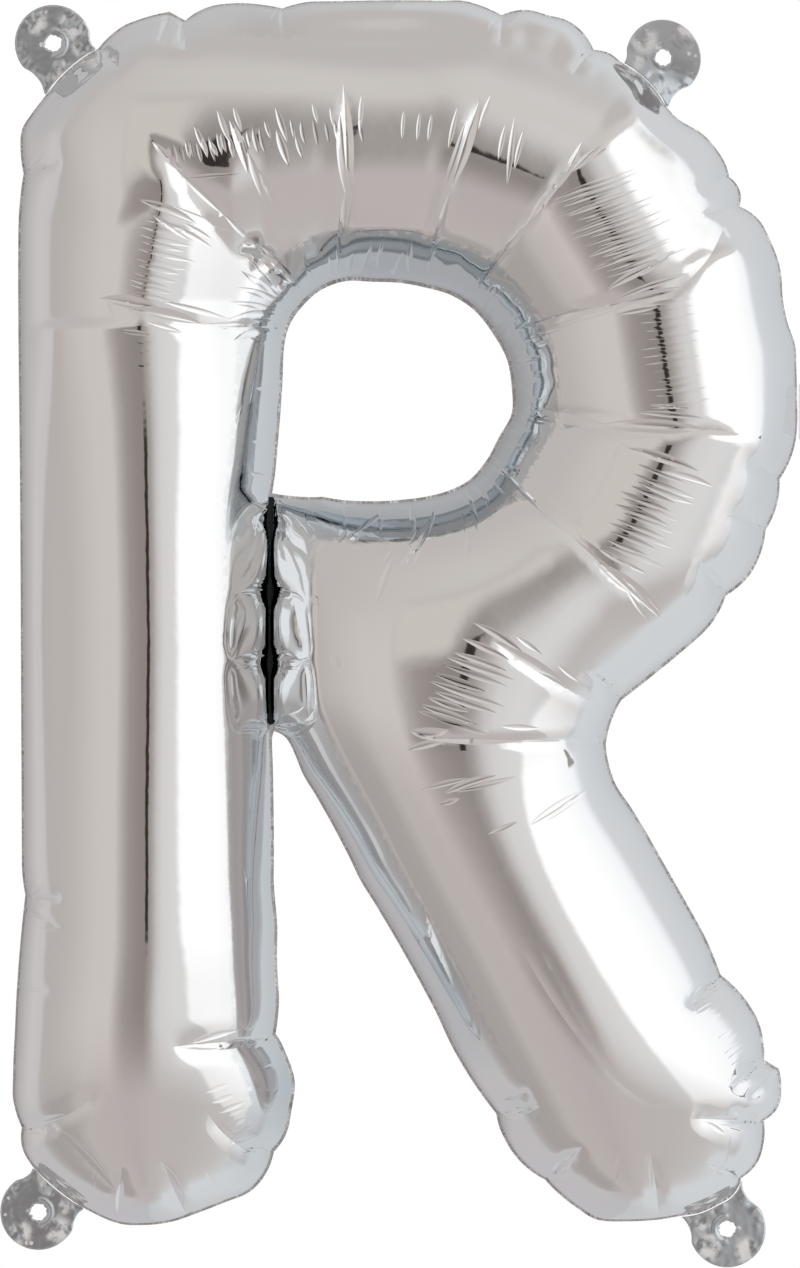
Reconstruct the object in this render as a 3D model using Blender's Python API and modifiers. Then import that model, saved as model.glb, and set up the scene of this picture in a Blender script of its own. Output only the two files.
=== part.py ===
"""Letter foil balloon, an inflated "R" about 350 mm tall.

Two sheets of metallised film, front and back, are heat sealed to each other along the letter's edge,
round the counter, and on a straight line between the stem and the leg. Air swells each stroke into a
tube. Four round lugs on the corners carry punched holes for string, and a clear film mouth on the
bowl's edge lets the air in. The film of the real thing is a twentieth of a millimetre thick, so the
walls here are thicker stand-ins that keep the true outer shape.

The letter stands in the XZ plane and its front faces -Y. The origin is the hang point, midway between
the holes of the two upper lugs. All sizes are metres, and outline points are millimetres.
"""
import math

import bmesh
import bpy
import numpy as np
from mathutils import Vector
from mathutils.geometry import delaunay_2d_cdt

MM = 0.001

# Driving dimensions
FILM_WALL = 1.5 * MM          # stand-in thickness of a swollen film wall
SEAM_THICKNESS = 1.2 * MM     # both films welded flat
SEAM_FLANGE = 1.2 * MM        # how far the weld stands out past the swollen film
SEAM_BACKING = 2.4 * MM       # how far it reaches in under the film's rim
SEAT_GAP = 0.3 * MM           # gap kept between pieces that touch
FULLEST_HALF_DEPTH = 47 * MM  # no stroke swells further than this from the mid-plane

LUG_RADIUS = 11 * MM
LUG_THICKNESS = 1.2 * MM
LUG_HOLE_RADIUS = 3.3 * MM
LUG_FLARE = 0.12              # how far a side of the neck bows in, as a share of its length
LUG_END_TRIM = 0.8 * MM       # how far the neck stops short of the pinches at its ends

VALVE_WIDTH = 16 * MM         # clear film mouth, along the seam
VALVE_LENGTH = 11 * MM        # and out from it
VALVE_THICKNESS = 0.8 * MM
VALVE_CORNER = 3 * MM
VALVE_MIDDLE = (126.2 * MM, -104 * MM)   # where its middle meets the seam

EDGE_STEP = 7.5 * MM          # spacing of points along an edge
GRID_STEP = 9 * MM            # spacing of points in the middle of a stroke
SCALLOP_RISE = 1.0            # an arc that rises this far, in millimetres, is never drawn as one line
RING_DEPTHS = (1.2 * MM, 4.8 * MM, 10.5 * MM, 18 * MM)
RING_TOLERANCE = 0.93         # a ring's point stays if it is this share of its depth from every edge
RING_SPACING = 0.55           # and this share of an edge step from the last one
GRID_CLEARANCE = 0.6          # the grid starts this share of its step inside the last ring
LEAST_BISECTOR = 0.6          # keeps an offset corner from running out to a long point
CAP_POWER = 8                 # how sharply the swelling levels off at the fullest half depth
DISC_SIDES = 28
HOLE_SIDES = 20
CORNER_SIDES = 4

# The letter's outer edge in millimetres, clockwise seen from the front, starting at the crotch between
# the stem and the leg. Each entry is x, z and the rise of the arc that leads on to the next point,
# positive where it bulges outwards. A corner between two arcs is a pinch in the welded edge.
CROTCH = (-24.5, -196)
WELD_X = -25.5 * MM           # the upright weld between stem and leg
STEM_INNER_EDGE = [(-25, -198, 0.2), (-24.5, -240, 0), (-23.5, -252, -0.3), (-23, -273.5, 0.2),
                   (-24, -283, 0.6)]
STEM_FOOT = [(-21.5, -287.5, 0.2), (-18.5, -296.5, 0.7), (-19.5, -305.5, 1.2), (-24.5, -317, 1.3),
             (-31.5, -328.5, 0.3), (-53.5, -337, 0.8), (-69.5, -337.5, 0.3)]
LOWER_LEFT_LUG_EDGE = [(-78.5, -333.5, 0.8), (-94, -321, 1.4)]
STEM_OUTER_EDGE = [(-97, -310, 0.7), (-99.5, -302, 0.2), (-99, -282, 0.4), (-96, -243, 0.4), (-97, -230, 0),
                   (-97.5, -130, 0), (-98, -52, 0), (-96.5, -35.5, 0.6), (-97, -23, 0.3)]
UPPER_LEFT_LUG_EDGE = [(-90.5, -13.5, 1.2), (-75, 0.5, 0.3)]
TOP_EDGE = [(-68.5, 6.5, 0.6), (-54.5, 11, 0.3), (-50, 8.5, 1.5), (-35.5, 13.5, 0.4), (-22, 12, 0.8),
            (-8, 14, 0.3), (31, 14, 0.8), (41, 10, 1.6), (54.5, 10, 1.1), (64.5, 5, 0), (67.5, 0, 1.0)]
UPPER_RIGHT_LUG_EDGE = [(75.5, -3.5, 1.4), (89, -17, 0.2)]
BOWL_EDGE = [(92, -20, 1.4), (104.5, -31, 0), (106.5, -36.5, 1.6), (109.5, -45, 1.4), (118, -54, 1.2),
             (122, -72, -0.4), (125.5, -85, 0.1), (126, -98.5, 0.3), (126, -109.5, 1.0), (121, -123.5, 1.2),
             (117, -138, 1.0), (112, -151.5, -0.3), (105.5, -157, 1.2), (96.5, -170, 0), (75.5, -187, -0.7)]
LEG_OUTER_EDGE = [(71, -199.5, -0.6), (74, -211.5, 0.3), (86, -231, 0), (99, -254, 0.2), (104, -266, 0.5),
                  (112.5, -275, 0.9), (116.5, -287, 0.4)]
LEG_FOOT = [(116.5, -290.5, 2.1), (121.5, -298, 1.9), (116.5, -308, 0.4), (116.5, -314, 1.6)]
LOWER_RIGHT_LUG_EDGE = [(110, -324.5, 1.4), (103.5, -332, 0.8)]
LEG_SOLE = [(92, -335.5, 0.2), (86, -336.5, 0.5), (68.5, -336.5, 0.9), (53.5, -325, 1.5),
            (41.5, -312.5, 0.4)]
LEG_INNER_EDGE = [(39.5, -306, 1.2), (22.5, -277.5, -0.5), (0.5, -239, -0.5), (-16, -208.5, 0),
                  (-20.5, -198.5, 0.2)]
OUTER_EDGE = ([CROTCH + (0,)] + STEM_INNER_EDGE + STEM_FOOT + LOWER_LEFT_LUG_EDGE + STEM_OUTER_EDGE
              + UPPER_LEFT_LUG_EDGE + TOP_EDGE + UPPER_RIGHT_LUG_EDGE + BOWL_EDGE + LEG_OUTER_EDGE
              + LEG_FOOT + LOWER_RIGHT_LUG_EDGE + LEG_SOLE + LEG_INNER_EDGE)

# The counter's edge, counterclockwise from its lower left corner. A minus sign is a hollow in the film.
COUNTER_CORNER = (-25, -127.5)
COUNTER_EDGE = [COUNTER_CORNER + (0.2,), (-17, -128.5, 0.5), (-4, -129.5, -0.7), (19, -128.5, -0.8),
                (32, -123.5, -0.8), (40.5, -111, -1.7), (44, -97.5, -1.4), (38.5, -81.5, -1.3),
                (26.5, -70.5, -0.4), (12, -67, -0.1), (-4, -66.5, -1.5), (-17, -74.5, -0.9),
                (-21.5, -85, 0.3), (-22, -95, 0.1), (-23.5, -115, 0.2)]

# Each lug: its disc's centre, and the stretch of edge that it grows from.
LUGS = {
    "tab_upper_left": ((-88, 2), UPPER_LEFT_LUG_EDGE),
    "tab_upper_right": ((88, -2), UPPER_RIGHT_LUG_EDGE),
    "tab_lower_right": ((106, -339.2), LOWER_RIGHT_LUG_EDGE + LEG_SOLE[:1]),
    "tab_lower_left": ((-92.2, -334.2), LOWER_LEFT_LUG_EDGE),
}


def clear_scene():
    for obj in list(bpy.data.objects):
        bpy.data.objects.remove(obj, do_unlink=True)


def make_collection(name):
    collection = bpy.data.collections.new(name)
    bpy.context.scene.collection.children.link(collection)
    return collection


def make_material(name, color, roughness, metallic, alpha=1.0):
    material = bpy.data.materials.new(name)
    material.use_nodes = True
    shader = material.node_tree.nodes["Principled BSDF"]
    shader.inputs["Base Color"].default_value = (*color, 1.0)
    shader.inputs["Roughness"].default_value = roughness
    shader.inputs["Metallic"].default_value = metallic
    shader.inputs["Alpha"].default_value = alpha
    material.diffuse_color = (*color, alpha)
    return material


# Flat outlines

def left_normal(direction):
    """Unit vector to the left of a direction in the XZ plane: away from the film on every edge here."""
    length = math.hypot(direction[0], direction[1])
    return np.array((-direction[1], direction[0])) / length


def arc_points(start, end, rise, step=EDGE_STEP):
    """Points along the shallow arc from start to end, without its end, in metres."""
    start = np.array(start[:2]) * MM
    end = np.array(end[:2]) * MM
    chord = end - start
    fewest = 2 if rise >= SCALLOP_RISE else 1
    count = max(fewest, round(np.linalg.norm(chord) / step))
    outwards = left_normal(chord)
    return [start + chord * t + outwards * 4 * rise * MM * t * (1 - t)
            for t in np.arange(count) / count]


def edge_loop(knots):
    """All the points of a closed edge made of shallow arcs."""
    points = []
    for knot, following in zip(knots, knots[1:] + knots[:1]):
        points += arc_points(knot, following, knot[2])
    return np.array(points)


def offset_loop(points, distance):
    """The loop moved sideways, away from the film where distance is positive."""
    before = points - np.roll(points, 1, axis=0)
    after = np.roll(points, -1, axis=0) - points
    moved = []
    for point, arriving, leaving in zip(points, before, after):
        first = left_normal(arriving)
        second = left_normal(leaving)
        bisector = first + second
        bisector /= np.linalg.norm(bisector)
        sharpness = max(LEAST_BISECTOR, float(bisector @ first))
        moved.append(point + bisector * distance / sharpness)
    return np.array(moved)


def distance_to_loop(points, loop):
    """Shortest distance from each point to the closed loop's line."""
    ends = np.roll(loop, -1, axis=0)
    along = ends - loop
    length_squared = (along ** 2).sum(axis=1)
    offsets = points[:, None, :] - loop[None, :, :]
    t = np.clip((offsets * along).sum(axis=2) / length_squared, 0, 1)
    nearest = loop[None, :, :] + t[:, :, None] * along[None, :, :]
    return np.sqrt(((points[:, None, :] - nearest) ** 2).sum(axis=2)).min(axis=1)


def inside_loop(points, loop):
    """True for each point that lies inside the loop, by counting the edges to its right."""
    ends = np.roll(loop, -1, axis=0)
    x, z = points[:, 0:1], points[:, 1:2]
    crosses = (loop[:, 1] > z) != (ends[:, 1] > z)
    rise = np.where(ends[:, 1] == loop[:, 1], 1.0, ends[:, 1] - loop[:, 1])
    crossing_x = loop[:, 0] + (z - loop[:, 1]) * (ends[:, 0] - loop[:, 0]) / rise
    return ((crosses & (x < crossing_x)).sum(axis=1) % 2) == 1


def weld_side_points(side):
    """The upright edge of the film beside the weld between stem and leg, from the crotch upwards."""
    x = WELD_X + side * SEAM_FLANGE / 2
    bottom = CROTCH[1] * MM + SEAM_FLANGE
    top = COUNTER_CORNER[1] * MM - SEAM_FLANGE
    count = round((top - bottom) / EDGE_STEP)
    return [np.array((x, bottom + (top - bottom) * i / count)) for i in range(count + 1)]


def film_boundary():
    """The one closed edge of a swollen sheet: the outline, up the weld, round the counter and back."""
    outline = offset_loop(edge_loop(OUTER_EDGE), -SEAM_FLANGE)
    counter = offset_loop(edge_loop(COUNTER_EDGE), -SEAM_FLANGE)
    leg_side = weld_side_points(1)
    stem_side = weld_side_points(-1)[::-1]
    return np.array(list(outline[1:]) + leg_side + list(counter[1:]) + stem_side)


# The swollen film

def sheet_points(boundary):
    """Points inside the boundary: rings that follow the edge closely, then an even triangular grid."""
    kept = []
    for depth in RING_DEPTHS:
        ring = offset_loop(boundary, -depth)
        clear = distance_to_loop(ring, boundary) > RING_TOLERANCE * depth
        ring = ring[clear & inside_loop(ring, boundary)]
        last = None
        for point in ring:
            if last is None or np.linalg.norm(point - last) > RING_SPACING * EDGE_STEP:
                kept.append(point)
                last = point
    low, high = boundary.min(axis=0), boundary.max(axis=0)
    row_step = GRID_STEP * math.sqrt(3) / 2
    grid = [(low[0] + GRID_STEP * (column + 0.5 * (row % 2)), low[1] + row_step * row)
            for row in range(int((high[1] - low[1]) / row_step) + 1)
            for column in range(int((high[0] - low[0]) / GRID_STEP) + 1)]
    grid = np.array(grid)
    deep = distance_to_loop(grid, boundary) > RING_DEPTHS[-1] + GRID_CLEARANCE * GRID_STEP
    return np.array(kept + list(grid[deep & inside_loop(grid, boundary)]))


def triangulate(boundary, inner):
    """Triangles that fill the boundary and use every inner point."""
    points = [Vector(p) for p in boundary] + [Vector(p) for p in inner]
    count = len(boundary)
    edges = [(i, (i + 1) % count) for i in range(count)]
    flat, _, faces, _, _, _ = delaunay_2d_cdt(points, edges, [], 1, 1e-7)
    return np.array([tuple(p) for p in flat]), np.array(faces)


def swelling(points, faces, fixed):
    """Half depth of the swollen sheet over each point.

    The square root of the solution of Poisson's equation over the flat outline, which makes a straight
    stroke exactly a round tube and joins the tubes smoothly where strokes meet.
    """
    count = len(points)
    stiffness = np.zeros((count, count))
    load = np.zeros(count)
    for face in faces:
        a, b, c = points[face]
        area = abs((b[0] - a[0]) * (c[1] - a[1]) - (b[1] - a[1]) * (c[0] - a[0])) / 2
        opposite = (c - b, a - c, b - a)
        for i in range(3):
            load[face[i]] += 2 * area / 3
            for j in range(3):
                stiffness[face[i], face[j]] += float(opposite[i] @ opposite[j]) / (4 * area)
    free = ~fixed
    solution = np.zeros(count)
    solution[free] = np.linalg.solve(stiffness[np.ix_(free, free)], load[free])
    round_depth = np.sqrt(np.maximum(solution, 0))
    return round_depth / (1 + (round_depth / FULLEST_HALF_DEPTH) ** CAP_POWER) ** (1 / CAP_POWER)


def make_object(name, mesh, collection, material):
    mesh.materials.append(material)
    obj = bpy.data.objects.new(name, mesh)
    collection.objects.link(obj)
    return obj


def make_panel(name, points, faces, depth, side, collection, material):
    """One sheet of film, swollen towards side (-1 is the front), as a shell that grows inwards.

    Its rim is level all round, just clear of the seam's face.
    """
    rim = SEAM_THICKNESS / 2 + SEAT_GAP
    mesh = bpy.data.meshes.new(name)
    verts = [(x, side * (rim + h), z) for (x, z), h in zip(points, depth)]
    mesh.from_pydata(verts, [], [tuple(int(i) for i in face) for face in faces])
    shaper = bmesh.new()
    shaper.from_mesh(mesh)
    bmesh.ops.recalc_face_normals(shaper, faces=shaper.faces)
    shaper.normal_update()
    if sum(face.normal.y * face.calc_area() for face in shaper.faces) * side < 0:
        bmesh.ops.reverse_faces(shaper, faces=shaper.faces)
    shaper.to_mesh(mesh)
    shaper.free()
    mesh.shade_smooth()
    panel = make_object(name, mesh, collection, material)
    wall = panel.modifiers.new("wall", "SOLIDIFY")
    wall.thickness = FILM_WALL
    wall.offset = -1
    bpy.context.view_layer.update()
    shell = bpy.data.meshes.new_from_object(panel.evaluated_get(bpy.context.evaluated_depsgraph_get()))
    shell.name = name
    for vertex in shell.vertices:
        vertex.co.y = side * max(side * vertex.co.y, rim)
    panel.modifiers.clear()
    panel.data = shell
    bpy.data.meshes.remove(mesh)


# Flat welded pieces

def make_flat_piece(name, loops, thickness, collection, material):
    """A flat piece in the mid-plane, bounded by an outer loop and any holes."""
    curve = bpy.data.curves.new(name, "CURVE")
    curve.dimensions = "2D"
    curve.fill_mode = "BOTH"
    curve.extrude = thickness / 2
    for loop in loops:
        spline = curve.splines.new("POLY")
        spline.points.add(len(loop) - 1)
        for spline_point, (x, z) in zip(spline.points, loop):
            spline_point.co = (x, z, 0, 1)
        spline.use_cyclic_u = True
    drawing = bpy.data.objects.new(name + "_drawing", curve)
    drawing.rotation_euler = (math.pi / 2, 0, 0)
    collection.objects.link(drawing)
    bpy.context.view_layer.update()
    depsgraph = bpy.context.evaluated_depsgraph_get()
    mesh = bpy.data.meshes.new_from_object(drawing.evaluated_get(depsgraph))
    mesh.name = name
    mesh.transform(drawing.matrix_world)
    bpy.data.objects.remove(drawing, do_unlink=True)
    shaper = bmesh.new()
    shaper.from_mesh(mesh)
    bmesh.ops.remove_doubles(shaper, verts=shaper.verts, dist=1e-6)
    shaper.to_mesh(mesh)
    shaper.free()
    return make_object(name, mesh, collection, material)


def circle_points(center, radius, start, sweep, count):
    """Points on an arc, ends included."""
    return [np.array((center[0] + radius * math.cos(start + sweep * i / count),
                      center[1] + radius * math.sin(start + sweep * i / count)))
            for i in range(count + 1)]


def tangent_angle(center, radius, point, away_from):
    """Angle on the circle where a line from the point touches it, on the side away from another point."""
    offset = point - center
    towards = math.atan2(offset[1], offset[0])
    spread = math.acos(radius / np.linalg.norm(offset))
    choices = [towards - spread, towards + spread]
    touches = [center + radius * np.array((math.cos(angle), math.sin(angle))) for angle in choices]
    gaps = [np.linalg.norm(touch - away_from) for touch in touches]
    return choices[int(gaps[1] > gaps[0])]


def lug_side(start, end, inwards):
    """One side of a lug's neck, bowed in between its two ends, which are left out."""
    bow = LUG_FLARE * np.linalg.norm(end - start)
    return [start + (end - start) * t + inwards * 4 * bow * t * (1 - t) for t in (0.25, 0.5, 0.75)]


def lug_loops(center, knots):
    """Outline and hole of a lug: a round disc whose neck flares out to the stretch of seam under it."""
    center = np.array(center) * MM
    seam = []
    for knot, following in zip(knots, knots[1:]):
        seam += arc_points(knot, following, knot[2], EDGE_STEP / 2)
    seam.append(np.array(knots[-1][:2]) * MM)
    first_step, last_step = seam[1] - seam[0], seam[-1] - seam[-2]
    seam[0] = seam[0] + first_step * LUG_END_TRIM / np.linalg.norm(first_step)
    seam[-1] = seam[-1] - last_step * LUG_END_TRIM / np.linalg.norm(last_step)
    directions = [first_step] + [b - a for a, b in zip(seam, seam[2:])] + [last_step]
    seam = [point + left_normal(d) * SEAT_GAP for point, d in zip(seam, directions)]
    along = (seam[-1] - seam[0]) / np.linalg.norm(seam[-1] - seam[0])
    first = tangent_angle(center, LUG_RADIUS, seam[0], seam[-1])
    last = tangent_angle(center, LUG_RADIUS, seam[-1], seam[0])
    sweep = (first - last) % (2 * math.pi)
    disc = circle_points(center, LUG_RADIUS, last, sweep, DISC_SIDES)
    outline = (seam + lug_side(seam[-1], disc[0], -along) + disc + lug_side(disc[-1], seam[0], along))
    hole = circle_points(center, LUG_HOLE_RADIUS, 0, 2 * math.pi, HOLE_SIDES)[:-1]
    return outline, hole


def valve_loop():
    """The valve's mouth, a strip with round corners that butts on the bowl's edge."""
    near = VALVE_MIDDLE[0] + SEAT_GAP
    far = near + VALVE_LENGTH
    top = VALVE_MIDDLE[1] + VALVE_WIDTH / 2
    bottom = VALVE_MIDDLE[1] - VALVE_WIDTH / 2
    quarter = math.pi / 2
    corner_x = far - VALVE_CORNER
    upper_middle = (corner_x, top - VALVE_CORNER)
    lower_middle = (corner_x, bottom + VALVE_CORNER)
    upper = circle_points(upper_middle, VALVE_CORNER, quarter, -quarter, CORNER_SIDES)
    lower = circle_points(lower_middle, VALVE_CORNER, 0, -quarter, CORNER_SIDES)
    return [np.array((near, top))] + upper + lower + [np.array((near, bottom))]


def weld_loop(outer_seam_edge, counter_seam_edge):
    """The upright weld strip, from the outer seam at the crotch to the counter's seam."""
    half_width = SEAM_FLANGE / 2 + SEAM_BACKING
    bottom = outer_seam_edge[0][1] + SEAT_GAP
    top = min(counter_seam_edge[0][1], counter_seam_edge[1][1]) - SEAT_GAP
    return [np.array(p) for p in ((WELD_X - half_width, bottom), (WELD_X - half_width, top),
                                  (WELD_X + half_width, top), (WELD_X + half_width, bottom))]


def build():
    clear_scene()
    parts = make_collection("letter_foil_balloon")
    foil = make_material("silver_foil", (0.80, 0.79, 0.79), 0.08, 1.0)
    weld = make_material("welded_foil", (0.66, 0.64, 0.62), 0.35, 1.0)
    lug_foil = make_material("lug_foil", (0.62, 0.62, 0.62), 0.25, 1.0)
    clear_film = make_material("clear_film", (0.90, 0.92, 0.93), 0.1, 0.0, alpha=0.35)

    boundary = film_boundary()
    points, faces = triangulate(boundary, sheet_points(boundary))
    fixed = distance_to_loop(points, boundary) < 1e-6
    depth = swelling(points, faces, fixed)
    make_panel("front_panel", points, faces, depth, -1, parts, foil)
    make_panel("back_panel", points, faces, depth, 1, parts, foil)

    outline = edge_loop(OUTER_EDGE)
    counter = edge_loop(COUNTER_EDGE)
    outline_backing = offset_loop(outline, -(SEAM_FLANGE + SEAM_BACKING))
    counter_backing = offset_loop(counter, -(SEAM_FLANGE + SEAM_BACKING))
    strip = weld_loop(outline_backing, counter_backing)
    make_flat_piece("outer_seam", [outline, outline_backing], SEAM_THICKNESS, parts, weld)
    make_flat_piece("counter_seam", [counter_backing, counter], SEAM_THICKNESS, parts, weld)
    make_flat_piece("stem_weld", [strip], SEAM_THICKNESS, parts, weld)
    for name, lug in LUGS.items():
        make_flat_piece(name, lug_loops(*lug), LUG_THICKNESS, parts, lug_foil)
    make_flat_piece("filler_valve", [valve_loop()], VALVE_THICKNESS, parts, clear_film)


build()
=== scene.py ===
# %% [markdown]
# # A letter foil balloon
#
# Two sheets of silver film are welded together along the outline of a letter and blown up with air.
# Almost everything that we see on such a balloon is a reflection, so this lesson spends its effort on
# two things: the true shape of the blown film, with the creases that the air presses into it, and a
# studio for the film to mirror.
#
# The first cell loads the finished construction as a fixed frame. Every new piece is fitted to it.

# %% Load the frame
import math

import bpy
import numpy as np
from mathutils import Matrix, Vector, noise
from mathutils.geometry import delaunay_2d_cdt
from mathutils.kdtree import KDTree


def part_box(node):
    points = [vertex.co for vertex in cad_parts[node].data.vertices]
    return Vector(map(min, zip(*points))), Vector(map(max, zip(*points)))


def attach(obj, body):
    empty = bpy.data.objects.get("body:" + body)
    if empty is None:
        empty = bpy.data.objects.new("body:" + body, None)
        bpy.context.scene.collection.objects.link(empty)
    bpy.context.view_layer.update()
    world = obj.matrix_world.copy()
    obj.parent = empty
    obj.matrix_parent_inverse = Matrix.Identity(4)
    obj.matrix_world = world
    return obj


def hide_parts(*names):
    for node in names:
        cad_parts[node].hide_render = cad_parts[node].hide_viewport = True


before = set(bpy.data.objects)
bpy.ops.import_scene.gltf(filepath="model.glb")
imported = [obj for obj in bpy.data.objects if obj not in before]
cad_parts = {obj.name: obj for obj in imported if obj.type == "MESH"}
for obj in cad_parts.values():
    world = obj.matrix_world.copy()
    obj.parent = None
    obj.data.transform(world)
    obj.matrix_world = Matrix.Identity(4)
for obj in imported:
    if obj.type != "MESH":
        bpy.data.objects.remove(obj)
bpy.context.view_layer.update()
MM = 0.001

# %% [markdown]
# ## The camera
#
# The photograph looks straight at the letter from its own mid height. A long lens from about a metre
# and a half away keeps the strokes parallel, and a small object in a product picture is taken like that.

# %% Camera
CAMERA_PLACE = (11.8 * MM, -1.5, -168 * MM)
LENS = 148

camera_data = bpy.data.cameras.new("camera")
camera_data.sensor_fit = "VERTICAL"
camera_data.sensor_height = 36
camera_data.lens = LENS
camera = bpy.data.objects.new("camera", camera_data)
camera.location = CAMERA_PLACE
camera.rotation_euler = (math.radians(90), 0, 0)
bpy.context.scene.collection.objects.link(camera)
bpy.context.scene.camera = camera
bpy.context.scene.view_settings.view_transform = "Standard"
print("camera", round(-CAMERA_PLACE[1], 2), "m in front of the letter")

# %% [markdown]
# ## Node sheets
#
# Every material and the world itself is a net of shader nodes. Wiring them by hand takes four lines a
# node, so a small helper class adds a node, feeds its sockets with numbers or with other nodes, and
# gives its output back. Picture values from 0 to 255 are turned into linear light on the way.

# %% A helper for shader nodes
def picture_color(grey_or_color):
    """A picture value from 0 to 255, or three of them, as linear light, by the sRGB curve."""
    channels = np.atleast_1d(np.array(grey_or_color, float)) / 255
    light = np.where(channels > 0.04045, ((channels + 0.055) / 1.055) ** 2.4, channels / 12.92)
    return (*np.broadcast_to(light, 3), 1)


class NodeSheet:
    """Short ways to add nodes to a node tree and wire them."""

    def __init__(self, tree):
        self.tree = tree
        self.tree.nodes.clear()

    def add(self, kind, inputs={}, **settings):
        """A new node, with its inputs fed by numbers or by other nodes' outputs."""
        node = self.tree.nodes.new(kind)
        for name, value in settings.items():
            setattr(node, name, value)
        for socket, value in inputs.items():
            self.feed(node.inputs[socket], value)
        return node

    def feed(self, socket, value):
        if isinstance(value, bpy.types.NodeSocket):
            self.tree.links.new(value, socket)
        else:
            socket.default_value = value

    def math(self, operation, first, second=0.0):
        return self.add("ShaderNodeMath", {0: first, 1: second}, operation=operation).outputs[0]

    def product(self, *values):
        result = values[0]
        for value in values[1:]:
            result = self.math("MULTIPLY", result, value)
        return result

    def mix_color(self, factor, first, second, blend_type="MIX"):
        """A mix of two colors, which go into the mix node's sockets 6 and 7 and come out of its third."""
        return self.add("ShaderNodeMix", {0: factor, 6: first, 7: second},
                        data_type="RGBA", blend_type=blend_type).outputs[2]

    def mix_shader(self, factor, first, second):
        """One shader's output where the factor is 0, and the other's where it is 1."""
        return self.add("ShaderNodeMixShader", {0: factor, 1: first, 2: second}).outputs[0]

    def smooth_step(self, value, low, high):
        """0 at low and 1 at high, which may be the smaller of the two."""
        return self.add("ShaderNodeMapRange", {"Value": value, "From Min": low, "From Max": high},
                        interpolation_type="SMOOTHSTEP").outputs["Result"]

    def ramp(self, value, stops):
        """A color that follows the value through stops of (value, picture color)."""
        low, high = stops[0][0], stops[-1][0]
        spread = self.add("ShaderNodeMapRange", {"Value": value, "From Min": low, "From Max": high})
        colors = self.add("ShaderNodeValToRGB", {"Fac": spread.outputs["Result"]})
        elements = colors.color_ramp.elements
        elements.remove(elements[-1])
        for index, (place, color) in enumerate(stops):
            position = (place - low) / (high - low)
            element = elements[0] if index == 0 else elements.new(position)
            element.position = position
            element.color = picture_color(color)
        return colors.outputs["Color"]


print("a picture grey of 128 is", round(picture_color(128)[0], 3), "in light")

# %% [markdown]
# ## The room's colors
#
# Chrome has no color of its own, so the room around it is the real paint. Its colors are listed by
# direction: degrees round the horizon, and degrees up. They were written after tones that were
# measured in the photograph for each direction, and changed after test renders. The room is a pale one
# with a warm left half and a cooler right half, darker straight ahead where the camera is, and with a
# large softbox on the right. A narrow dark stand beside the camera draws the thin line on every crest.

# %% The room's colors
# At eye level, lower down and higher up, by degrees to the right of the camera as the object sees it.
LEVEL_STOPS = [(-180, 166), (-160, (160, 157, 157)), (-140, (180, 176, 177)), (-118, (197, 193, 192)),
               (-103, (195, 191, 190)), (-97, (179, 173, 171)), (-80, (183, 176, 173)),
               (-45, (199, 192, 188)), (-29, (200, 193, 189)), (-22, (170, 163, 159)),
               (-17, (153, 145, 141)), (-9, (141, 133, 129)), (-3, (137, 130, 126)),
               (1.5, (162, 156, 152)), (5.5, (193, 189, 187)), (10, (208, 206, 205)),
               (20, (213, 212, 211)), (97, (215, 218, 222)), (117, (205, 209, 213)),
               (140, (198, 202, 206)), (165, (190, 193, 196)), (180, 172)]
LOW_STOPS = [(-180, (186, 185, 188)), (-150, (187, 185, 187)), (-108, (188, 186, 186)),
             (-99, (172, 167, 166)), (-88, (163, 157, 155)), (-65, (167, 160, 157)), (-50, (183, 176, 173)),
             (-28, (182, 174, 171)), (-12, (179, 171, 169)), (2, (184, 176, 174)), (30, (184, 178, 176)),
             (60, (190, 186, 184)), (95, (206, 209, 211)), (150, (204, 207, 209)), (180, (192, 193, 195))]
HIGH_STOPS = [(-180, (190, 189, 190)), (-140, (183, 181, 182)), (-100, (185, 180, 178)),
              (-60, (188, 182, 179)), (-20, (195, 190, 186)), (10, (202, 197, 193)), (60, (206, 203, 201)),
              (100, (206, 207, 208)), (150, (204, 206, 208)), (180, (195, 196, 198))]
OVERHEAD, UNDERFOOT = (187, 182, 179), (184, 177, 176)
# Between which degrees up each of them takes over from the one before.
HIGH_FADE, LOW_FADE = (4.0, 34.0), (-6.0, -28.0)
OVERHEAD_FADE, UNDERFOOT_FADE = (45.0, 80.0), (-74.0, -88.0)
# Small things in the room: degrees to the right, degrees up, how soft the border is, and the color.
PALE_WALL = ((-24.0, -9.0), (8.0, 22.0), 6.0, (198, 192, 187))
BOX_STAND = ((88.0, 98.0), (-4.0, 0.5), 1.5, (150, 146, 143))
CAMERA_STAND = ((-3.3, -1.3), (-3.6, 7.0), 0.5, (48, 41, 38))
# The softbox's light by degrees to the right and by degrees up.
BOX_ACROSS = [(0, 255), (60, 255), (80, (249, 250, 250)), (92, (243, 245, 248)), (108, (212, 215, 219)),
              (120, (212, 215, 219))]
BOX_UP = [(-40, (178, 174, 172)), (-32, (205, 203, 202)), (-22, (222, 220, 219)), (-10, (244, 243, 243)),
          (-4, 255), (60, 255)]
# Its left side leans where it is low, and its top slopes: where they are, by how much, and how soft.
BOX_LEFT, BOX_LEAN, BOX_LEVEL, BOX_UPRIGHT, BOX_LEFT_FADE = 22.0, 1.35, -1.0, -5.0, (-3.0, 4.0)
BOX_TOP, BOX_SLOPE, BOX_TOP_FADE = 17.0, 0.25, (3.0, -3.0)
BOX_RIGHT_FADE, BOX_BOTTOM_FADE = (108.0, 97.0), (-42.0, -30.0)
ROOM_STRENGTH = 1.09
print(len(LEVEL_STOPS + LOW_STOPS + HIGH_STOPS), "colors round the room and",
      len(BOX_ACROSS + BOX_UP), "in the softbox")

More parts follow.
